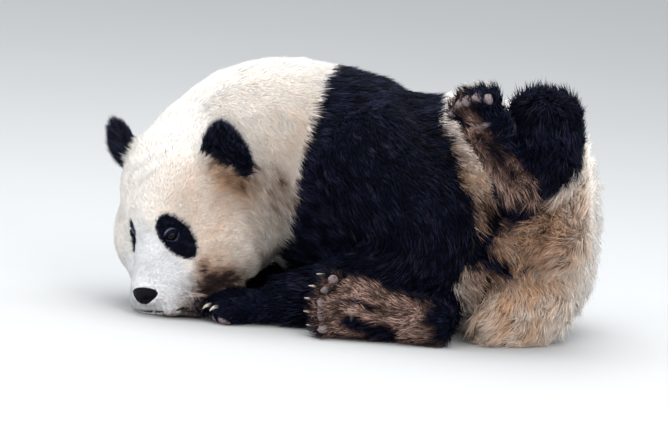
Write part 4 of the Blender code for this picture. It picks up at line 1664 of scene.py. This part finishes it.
class TuftTree:
    """Geometry Nodes that grow curved solid tufts out of a skin."""

    def __init__(self) -> None:
        """Build the tree once; every piece of the coat uses it with its own inputs."""
        self.tree = bpy.data.node_groups.new("grow_tufts", "GeometryNodeTree")
        self.g = Graph(self.tree)
        self.inputs: dict[str, str] = {}
        self.build()

    def declare(self) -> None:
        """Named inputs with their first values."""
        face = self.tree.interface
        face.new_socket("Geometry", in_out="INPUT", socket_type="NodeSocketGeometry")
        for name, value in (
            ("Density Share", 1.0),
            ("Clump", 0.35),
            ("Clump Size", 0.014),
            ("Stray", 0.22),
            ("Bow", 1.3),
            ("Patch", 0.003),
            ("Swirl", 0.20),
        ):
            made = face.new_socket(name, in_out="INPUT", socket_type="NodeSocketFloat")
            made.default_value = value
            self.inputs[name] = made.identifier
        for name in ("Seed", "Bends"):
            made = face.new_socket(name, in_out="INPUT", socket_type="NodeSocketInt")
            self.inputs[name] = made.identifier
        made = face.new_socket("Material", in_out="INPUT", socket_type="NodeSocketMaterial")
        self.inputs["Material"] = made.identifier
        face.new_socket("Geometry", in_out="OUTPUT", socket_type="NodeSocketGeometry")

    def named(self, name: str, kind: str = "FLOAT") -> NodeSocket:
        """Value kept on the geometry under a name."""
        made = self.g.node("GeometryNodeInputNamedAttribute", data_type=kind)
        made.inputs["Name"].default_value = name
        return made.outputs["Attribute"]

    def store(
        self, geometry: object, name: str, value: object, kind: str = "FLOAT", domain: str = "POINT"
    ) -> NodeSocket:
        """Keep a value on the geometry under a name."""
        made = self.g.node("GeometryNodeStoreNamedAttribute", data_type=kind, domain=domain)
        self.g.link(geometry, made.inputs["Geometry"])
        made.inputs["Name"].default_value = name
        self.g.link(value, made.inputs["Value"])
        return made.outputs[0]

    def chance(self, low: object, high: object, seed: object, kind: str = "FLOAT") -> NodeSocket:
        """Random number or vector for each element."""
        made = self.g.node("FunctionNodeRandomValue", data_type=kind)
        first, second = (0, 1) if kind == "FLOAT_VECTOR" else (2, 3)
        self.g.link(low, made.inputs[first])
        self.g.link(high, made.inputs[second])
        self.g.link(seed, made.inputs["Seed"])
        return made.outputs[0 if kind == "FLOAT_VECTOR" else 1]

    def in_surface(self, way: NodeSocket, out: NodeSocket) -> NodeSocket:
        """The part of a vector that lies in the surface."""
        outward = self.g.vector("SCALE", out, self.g.vector("DOT_PRODUCT", way, out))
        return self.g.vector("SUBTRACT", way, outward)

    def tuft(self, bow: NodeSocket, bends: NodeSocket) -> NodeSocket:
        """One closed tuft a unit long, bowed towards X, with its length and its patch marked.

        Args:
            bow: how far the middle bows out, in widths.
            bends: number of steps along its length.

        Returns:
            The tuft's geometry.
        """
        g = self.g
        cone = g.node("GeometryNodeMeshCone", fill_type="NGON")
        cone.inputs["Vertices"].default_value = 3
        g.link(bends, cone.inputs["Side Segments"])
        cone.inputs["Fill Segments"].default_value = 1
        cone.inputs["Radius Top"].default_value = 0.0
        cone.inputs["Radius Bottom"].default_value = 0.5
        cone.inputs["Depth"].default_value = 1.0
        place = g.node("GeometryNodeInputPosition").outputs[0]
        parts = g.node("ShaderNodeSeparateXYZ")
        g.link(place, parts.inputs[0])
        along = parts.outputs["Z"]
        arch = g.product(along, g.math("SUBTRACT", 1.0, along), 4.0)
        belly = g.total(1.0, g.product(arch, 0.75))
        moved = g.node("ShaderNodeCombineXYZ")
        across = g.product(parts.outputs["X"], belly, 0.62)
        g.link(g.total(across, g.product(arch, bow)), moved.inputs["X"])
        g.link(g.product(parts.outputs["Y"], belly), moved.inputs["Y"])
        g.link(along, moved.inputs["Z"])
        geometry = self.store(cone.outputs["Mesh"], "along", along)
        patch = g.node("ShaderNodeCombineXYZ")
        g.link(parts.outputs["Y"], patch.inputs["X"])
        g.link(g.math("SUBTRACT", along, 0.5), patch.inputs["Y"])
        geometry = self.store(geometry, "patch", patch.outputs[0], "FLOAT_VECTOR")
        shape = g.node("GeometryNodeSetPosition")
        g.link(geometry, shape.inputs["Geometry"])
        g.link(moved.outputs[0], shape.inputs["Position"])
        return shape.outputs[0]

    def build(self) -> None:
        """Scatter roots, aim and size the tufts, realize them and lay their patches on the map."""
        self.declare()
        g = self.g
        entry = g.node("NodeGroupInput").outputs
        scatter = g.node("GeometryNodeDistributePointsOnFaces", distribute_method="RANDOM")
        g.link(entry["Geometry"], scatter.inputs["Mesh"])
        g.link(g.product(self.named("coat_density"), entry["Density Share"]), scatter.inputs["Density"])
        g.link(entry["Seed"], scatter.inputs["Seed"])
        roots = self.store(scatter.outputs["Points"], "out", scatter.outputs["Normal"], "FLOAT_VECTOR")
        here = g.node("GeometryNodeInputPosition").outputs[0]
        cells = g.node("ShaderNodeTexVoronoi", feature="F1")
        g.link(here, cells.inputs["Vector"])
        g.link(g.math("DIVIDE", 1.0, entry["Clump Size"]), cells.inputs["Scale"])
        lock = g.node("ShaderNodeSeparateXYZ")
        g.link(cells.outputs["Color"], lock.inputs[0])
        tone = g.total(g.product(self.chance(0.0, 1.0, 3), 0.50), g.product(lock.outputs[0], 0.50))
        roots = self.store(roots, "tone", tone)
        roots = self.store(roots, "root_map", self.named("OFBake", "FLOAT_VECTOR"), "FLOAT_VECTOR")

        out = self.named("out", "FLOAT_VECTOR")
        lie = self.named("lie", "FLOAT_VECTOR")
        lift = self.named("coat_lift")
        length = g.product(self.named("coat_length"), self.chance(0.70, 1.15, 4))
        aim = g.vector("SCALE", lie, g.math("COSINE", lift))
        aim = g.vector("ADD", aim, g.vector("SCALE", out, g.math("SINE", lift)))
        wild = self.chance((-1.0, -1.0, -1.0), (1.0, 1.0, 1.0), 5, "FLOAT_VECTOR")
        aim = g.vector("ADD", aim, g.vector("SCALE", wild, entry["Stray"]))
        drift = g.node("ShaderNodeTexNoise")
        g.link(here, drift.inputs["Vector"])
        drift.inputs["Scale"].default_value = 22.0
        drift.inputs["Detail"].default_value = 1.0
        drift = self.in_surface(g.vector("SUBTRACT", drift.outputs["Color"], (0.5, 0.5, 0.5)), out)
        aim = g.vector("ADD", aim, g.vector("SCALE", drift, g.product(entry["Swirl"], 6.0)))
        aim = g.vector("SCALE", aim, length)
        pull = self.in_surface(g.vector("SUBTRACT", cells.outputs["Position"], here), out)
        aim = g.vector("ADD", aim, g.vector("SCALE", pull, entry["Clump"]))

        first = g.node("FunctionNodeAlignRotationToVector", axis="Z")
        g.link(aim, first.inputs["Vector"])
        second = g.node("FunctionNodeAlignRotationToVector", axis="X", pivot_axis="Z")
        g.link(first.outputs[0], second.inputs["Rotation"])
        roll = self.chance((-0.6, -0.6, -0.6), (0.6, 0.6, 0.6), 6, "FLOAT_VECTOR")
        g.link(g.vector("ADD", out, roll), second.inputs["Vector"])
        size = g.node("ShaderNodeCombineXYZ")
        width = g.product(self.named("coat_width"), self.chance(0.75, 1.25, 7))
        g.link(width, size.inputs["X"])
        g.link(width, size.inputs["Y"])
        g.link(g.vector("LENGTH", aim), size.inputs["Z"])
        grow = g.node("GeometryNodeInstanceOnPoints")
        g.link(roots, grow.inputs["Points"])
        g.link(self.tuft(entry["Bow"], entry["Bends"]), grow.inputs["Instance"])
        g.link(second.outputs[0], grow.inputs["Rotation"])
        g.link(size.outputs[0], grow.inputs["Scale"])

        real = g.node("GeometryNodeRealizeInstances")
        g.link(grow.outputs[0], real.inputs["Geometry"])
        place = g.node("GeometryNodeInputPosition").outputs[0]
        above = g.vector("MAXIMUM", place, (-9.0, -9.0, 0.0004))
        rest = g.node("GeometryNodeSetPosition")
        g.link(real.outputs[0], rest.inputs["Geometry"])
        g.link(above, rest.inputs["Position"])
        patch = g.vector("SCALE", self.named("patch", "FLOAT_VECTOR"), entry["Patch"])
        laid = g.vector("ADD", self.named("root_map", "FLOAT_VECTOR"), patch)
        done = self.store(rest.outputs[0], "OFBake", laid, "FLOAT2", "CORNER")
        for name in SPENT:
            drop = g.node("GeometryNodeRemoveAttribute")
            g.link(done, drop.inputs["Geometry"])
            drop.inputs["Name"].default_value = name
            done = drop.outputs[0]
        dress = g.node("GeometryNodeSetMaterial")
        g.link(done, dress.inputs["Geometry"])
        g.link(entry["Material"], dress.inputs["Material"])
        soft = g.node("GeometryNodeSetShadeSmooth")
        g.link(dress.outputs[0], soft.inputs["Geometry"])
        g.link(soft.outputs[0], g.node("NodeGroupOutput").inputs[0])


@dataclass(frozen=True)
class Fur:
    """All the coat pieces."""

    skin: Object
    material: Material
    tree: TuftTree = field(default_factory=TuftTree)
    quick_share: float = 0.25

    def patch_of_skin(self, fleece: Fleece) -> Object:
        """The part of the skin that a piece of the coat grows on.

        Args:
            fleece: the piece of the coat.

        Returns:
            New object with that part alone.
        """
        mesh = self.skin.data
        region = read_value(mesh, "region").astype(int)
        place = HEAD.local(read_points(mesh))[:, 0]
        low, high = fleece.head_span
        inside = (place >= low) & (place < high)
        wanted = in_parts(region, *fleece.parts) & (inside | ~in_parts(region, Flesh.HEAD))
        bm = bmesh.new()
        bm.from_mesh(mesh)
        bm.faces.ensure_lookup_table()
        extra = [bm.faces[i] for i in np.flatnonzero(~wanted[read_corners(mesh)[:, 0]])]
        bmesh.ops.delete(bm, geom=extra, context="FACES")
        part = bpy.data.meshes.new("skin_part")
        bm.to_mesh(part)
        bm.free()
        return new_object("skin_part", part)

    @staticmethod
    def expected(mesh: Mesh) -> float:
        """How many tufts a patch of skin would grow at the densities kept on it."""
        areas = np.empty(len(mesh.polygons), np.float32)
        mesh.polygons.foreach_get("area", areas)
        density = read_value(mesh, "coat_density")[read_corners(mesh)]
        return float((density.mean(axis=1) * areas).sum())

    def grow(self, fleece: Fleece) -> Object:
        """Grow one piece of the coat and turn it into a plain mesh.

        Args:
            fleece: the piece of the coat.

        Returns:
            The coat piece.
        """
        base = self.patch_of_skin(fleece)
        wanted = fleece.tufts * 1.0
        modifier = base.modifiers.new("grow", "NODES")
        modifier.node_group = self.tree.tree
        for name, value in (
            ("Density Share", wanted / self.expected(base.data)),
            ("Clump", fleece.clump),
            ("Clump Size", fleece.clump_size),
            ("Stray", fleece.stray),
            ("Seed", fleece.seed),
            ("Bends", fleece.bends),
            ("Swirl", fleece.swirl),
            ("Material", self.material),
        ):
            modifier[self.tree.inputs[name]] = value
        mesh = evaluated(base, fleece.name)
        bpy.data.objects.remove(base, do_unlink=True)
        item = new_object(fleece.name, mesh)
        return item

    def build(self) -> list[Object]:
        """Grow every piece."""
        return [self.grow(fleece) for fleece in FLEECES]


# --- nose and claws -----------------------------------------------------------------------------


@dataclass(frozen=True)
class Nose:
    """Bare nose over the end of the muzzle: places in head coordinates, depths in metres."""

    seat: Triple = (22.0, 0.0, -2.90)
    facing: Triple = (0.96, 0.0, 0.22)
    half_width: float = 3.35
    half_height: float = 1.50
    swell: float = 0.0026
    edge_depth: float = 0.0011
    body_depth: float = 0.0075
    skin_depth: float = 0.0062
    groove_depth: float = 0.0012
    nostril_depth: float = 0.0046
    rings: int = 40
    spokes: int = 96

    @staticmethod
    def spread(up: np.ndarray) -> np.ndarray:
        """Width of the rounded triangle at a height, as a share of the half width."""
        return 0.76 + 0.34 * up - 0.10 * up**2

    def outline(self, radius: np.ndarray, angle: np.ndarray) -> np.ndarray:
        """Across and up, in design units, of places on a rounded triangle with its base on top."""
        up = radius * np.sin(angle)
        across = radius * np.cos(angle) * self.spread(up)
        return np.column_stack((across * self.half_width, up * self.half_height - 0.18 * across**2))

    def axes(self) -> np.ndarray:
        """Rows: out of the nose, to its left and up, along the head's own axes."""
        out = unit(np.array(self.facing))
        return np.array((out, (0.0, 1.0, 0.0), np.cross(out, (0.0, 1.0, 0.0))))

    def inside(self, local: np.ndarray) -> np.ndarray:
        """How far under the pad a place of the head is, from 0 to 1."""
        flat = (local - self.seat) @ self.axes().T
        across = flat[:, 1] / self.half_width
        up = np.clip((flat[:, 2] + 0.18 * across**2) / self.half_height, -1.5, 1.5)
        away = np.hypot(across / np.maximum(self.spread(up), 0.1), up)
        return (1.0 - ease(away, 0.90, 1.02)) * (local[:, 0] > 13.0)

    def sink(self, skin: Object) -> None:
        """Draw the skin back under the pad, so that the nostrils stay open."""
        points = read_points(skin.data)
        under = self.inside(HEAD.local(points))
        out = HEAD.turn(self.facing)
        write_points(skin.data, points - out * (self.skin_depth * under)[:, None])

    def nostrils(self, flat: np.ndarray) -> np.ndarray:
        """Depth of the two comma-shaped nostrils and of the groove between them, in metres.

        Args:
            flat: rows of places across and up on the nose.

        Returns:
            One depth for each place.
        """
        press = self.groove_depth * np.exp(-((flat[:, 0] / 0.17) ** 2)) * ease(-flat[:, 1], -0.2, 0.5)
        for side in (1.0, -1.0):
            for along in np.linspace(0.0, 1.0, 8):
                at = (side * (0.85 + 1.15 * along), -0.25 - 0.10 * along + 0.10 * along**2)
                size = 0.36 * (1.0 - 0.45 * along)
                away = np.hypot(flat[:, 0] - at[0], (flat[:, 1] - at[1]) * 1.1)
                depth = self.nostril_depth - 0.0018 * along
                press = np.maximum(press, depth * np.exp(-((away / size) ** 2)))
        return press

    def build(self, skin: Object, finish: NoseFinish) -> Object:
        """Cast the outline onto the skin and raise it into a pad.

        Args:
            skin: the finished skin.
            finish: finish of the piece.

        Returns:
            The nose pad.
        """
        tree = cast_tree(skin.data, read_points(skin.data))
        out = HEAD.turn(self.facing)
        side = HEAD.turn((0.0, 1.0, 0.0))
        up = np.cross(out, side)
        seat = HEAD.world(self.seat)
        radius = np.repeat(np.linspace(0.0, 1.0, self.rings + 1)[1:], self.spokes)
        angle = np.tile(np.arange(self.spokes) * 2.0 * math.pi / self.spokes, self.rings)
        radius = np.concatenate(((0.0,), radius))
        angle = np.concatenate(((0.0,), angle))
        flat = self.outline(radius, angle)
        unit_size = HEAD.scale * CM
        starts = seat + flat[:, :1] * unit_size * side + flat[:, 1:] * unit_size * up
        rise = self.swell * np.sqrt(np.maximum(1.0 - radius**4, 0.0)) - self.edge_depth
        rise = rise - self.nostrils(flat)
        front, back = [], []
        for start, lift in zip(starts, rise):
            hit, normal, _, _ = tree.ray_cast(Vector(start), Vector(-out), 0.08)
            away = (Vector(out) + normal).normalized()
            front.append(hit + away * lift)
            back.append(hit - away * self.body_depth)
        bm = bmesh.new()
        top = [bm.verts.new(place) for place in front]
        under = [bm.verts.new(place) for place in back]
        for sheet, turned in ((top, False), (under, True)):
            self.cover(bm, sheet, turned)
        last = 1 + (self.rings - 1) * self.spokes
        for k in range(self.spokes):
            m = (k + 1) % self.spokes
            bm.faces.new((top[last + k], under[last + k], under[last + m], top[last + m]))
        self.sink(skin)
        item = object_from("nose_pad", bm, finish.material())
        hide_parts("nose")
        return item

    def cover(self, bm: BMesh, verts: list, turned: bool) -> None:
        """Join one side of the pad into faces, ring by ring.

        Args:
            bm: bmesh that gets the faces.
            verts: vertices of that side, the middle first.
            turned: whether its faces look the other way.
        """
        for k in range(self.spokes):
            m = (k + 1) % self.spokes
            loops = [(verts[0], verts[1 + k], verts[1 + m])]
            for ring in range(self.rings - 1):
                low = 1 + ring * self.spokes
                high = low + self.spokes
                loops.append((verts[low + k], verts[high + k], verts[high + m], verts[low + m]))
            for loop in loops:
                bm.faces.new(loop[::-1] if turned else loop)


NOSE = Nose()


@dataclass(frozen=True)
class Claws:
    """Twenty curved claws, in foot coordinates."""

    length: float = 1.95
    radius: float = 0.40
    root: float = 1.55
    height: float = 0.32
    sag: float = 0.44
    tip_sag: float = 0.46
    curl: float = 54.0
    tilt: float = 8.0
    floor_gap: float = 0.0003
    rings: int = 9
    sides: int = 10

    def reach(self, share: float) -> float:
        """How far in front of the toe's middle a share of the claw's length ends."""
        full = math.radians(self.curl)
        return self.root + self.length * math.sin(full * share) / full

    def claw(self, bm: BMesh, foot: Foot, along: float, across: float) -> None:
        """Add one claw that leaves the toe and curves towards the sole.

        Args:
            bm: bmesh that gets the faces.
            foot: the foot it grows on.
            along: the toe's place along the foot.
            across: the toe's place across it.
        """
        layer = bm.verts.layers.float.get("along") or bm.verts.layers.float.new("along")
        loops = []
        for k in range(self.rings):
            t = k / self.rings
            bend = math.radians(self.tilt + (self.curl - self.tilt) * t)
            middle = (along + self.reach(t), across, self.height - self.length * self.sag * t * t)
            size = self.radius * (1.0 - t) ** 0.62
            loop = []
            for j in range(self.sides):
                angle = 2.0 * math.pi * j / self.sides
                rise = math.sin(angle) * size * 1.18
                place = (
                    middle[0] + rise * math.sin(bend),
                    middle[1] + math.cos(angle) * size * 0.78,
                    middle[2] + rise * math.cos(bend),
                )
                vert = bm.verts.new(foot.world(np.array(place)))
                vert[layer] = t
                loop.append(vert)
            loops.append(loop)
        end = (along + self.reach(1.0), across, self.height - self.length * self.tip_sag)
        tip = bm.verts.new(foot.world(np.array(end)))
        tip[layer] = 1.0
        for low, high in zip(loops, loops[1:]):
            for j in range(self.sides):
                m = (j + 1) % self.sides
                bm.faces.new((low[j], low[m], high[m], high[j]))
        for j in range(self.sides):
            bm.faces.new((loops[-1][j], loops[-1][(j + 1) % self.sides], tip))
        bm.faces.new(loops[0][::-1])

    def build(self, finish: ClawFinish) -> Object:
        """Claws of all four feet as one piece.

        Args:
            finish: finish of the piece.

        Returns:
            The claws.
        """
        bm = bmesh.new()
        for foot in FEET.values():
            for along, across in foot.toe_sites():
                self.claw(bm, foot, along, across)
        for vert in bm.verts:
            vert.co.z = max(vert.co.z, self.floor_gap)
        item = object_from("claws", bm, finish.material())
        return item


# --- stage --------------------------------------------------------------------------------------


@dataclass(frozen=True)
class Lamp:
    """One soft square lamp: where it stands, how high it aims, its size, power and colour."""

    name: str
    place: Triple
    aim_height: float
    size: float
    power: float
    colour: Triple

    def build(self) -> None:
        """Hang the lamp."""
        data = bpy.data.lights.new(self.name, "AREA")
        data.shape = "SQUARE"
        data.size = self.size
        data.energy = self.power
        data.color = self.colour
        item = bpy.data.objects.new(self.name, data)
        bpy.context.scene.collection.objects.link(item)
        item.location = self.place
        away = Vector((0.0, 0.0, self.aim_height)) - Vector(self.place)
        item.rotation_euler = away.to_track_quat("-Z", "Y").to_euler()


LAMPS = (
    Lamp("sky", (0.1, 0.3, 3.2), 0.2, 3.0, 141.0, (0.97, 0.985, 1.0)),
    Lamp("front", (1.4, -3.5, 2.6), 0.2, 2.0, 94.0, (1.0, 0.985, 0.96)),
    Lamp("spark", (-1.4, -3.8, 1.0), 0.2, 0.40, 40.0, (1.0, 0.99, 0.97)),
    Lamp("left", (-3.8, -0.6, 1.2), 0.25, 1.6, 80.0, (0.95, 0.98, 1.0)),
    Lamp("right", (3.2, 0.3, 1.6), 0.25, 1.6, 32.0, (0.90, 0.95, 1.0)),
)


@dataclass(frozen=True)
class Stage:
    """Floor, light and camera: angles in degrees, the aim in centimetres, the rest in metres."""

    azimuth: float = -2.0
    elevation: float = 9.0
    roll: float = 5.0
    distance: float = 30.0
    view_width: float = 1.1929
    aim: tuple[float, float] = (-4.64, 17.05)
    floor_radius: float = 150.0
    sensor: float = 36.0
    clip: tuple[float, float] = (0.5, 500.0)
    room: tuple = (0.90, 0.94, 1.0, 1.0)
    room_strength: float = 0.96

    def floor(self) -> Object:
        """Wide round floor at Z = 0.

        Returns:
            The floor.
        """
        bm = bmesh.new()
        bmesh.ops.create_circle(bm, cap_ends=True, segments=96, radius=self.floor_radius)
        for face in bm.faces:
            if face.normal.z < 0.0:
                face.normal_flip()
        mesh = bpy.data.meshes.new("floor")
        bm.to_mesh(mesh)
        bm.free()
        item = new_object("floor", mesh)
        mesh.materials.append(FloorFinish().material())
        return item

    def lights(self) -> None:
        """Large lamp overhead, weaker ones from the front and both ends, and pale surroundings."""
        for lamp in LAMPS:
            lamp.build()
        world = bpy.data.worlds.new("pale_room")
        world.use_nodes = True
        back = world.node_tree.nodes["Background"]
        back.inputs["Color"].default_value = self.room
        back.inputs["Strength"].default_value = self.room_strength
        bpy.context.scene.world = world

    def camera(self) -> None:
        """Long lens at the animal's left side, slightly rolled."""
        a = math.radians(self.azimuth)
        e = math.radians(self.elevation)
        back = Vector((math.sin(a) * math.cos(e), -math.cos(a) * math.cos(e), math.sin(e)))
        right = Vector((math.cos(a), math.sin(a), 0.0))
        up = back.cross(right)
        roll = math.radians(self.roll)
        across = right * math.cos(roll) + up * math.sin(roll)
        rise = up * math.cos(roll) - right * math.sin(roll)
        middle = Vector(spot((0.0, 0.0, 0.0))) + across * (self.aim[0] * CM) + rise * (self.aim[1] * CM)
        data = bpy.data.cameras.new("camera")
        data.sensor_width = self.sensor
        data.lens = self.sensor * self.distance / self.view_width
        data.clip_start, data.clip_end = self.clip
        item = bpy.data.objects.new("camera", data)
        bpy.context.scene.collection.objects.link(item)
        item.matrix_world = Matrix((across, rise, back)).transposed().to_4x4()
        item.location = middle + back * self.distance
        bpy.context.scene.camera = item

    def build(self) -> None:
        """Set the stage."""
        self.floor()
        self.lights()
        self.camera()
        bpy.context.scene.view_settings.view_transform = "Standard"


def main() -> None:
    """Build the skin, the coat and the small pieces, set the stage and note the sizes."""
    logging.basicConfig(level=logging.INFO, format="%(name)s %(message)s")
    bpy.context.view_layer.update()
    skin = Skin().build(CoatFinish("skin_and_short_hair", False))
    pieces = [skin]
    pieces += Fur(skin, CoatFinish("coat_tufts", True).material()).build()
    pieces += [eye.build(EyeFinish()) for eye in EYES]
    pieces.append(NOSE.build(skin, NoseFinish()))
    pieces.append(Claws().build(ClawFinish()))
    for piece in pieces:
        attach(piece, "root")
        piece.data.calc_loop_triangles()
        log.info("%s: %d triangles", piece.name, len(piece.data.loop_triangles))
    Stage().build()


if __name__ == "__main__":
    main()
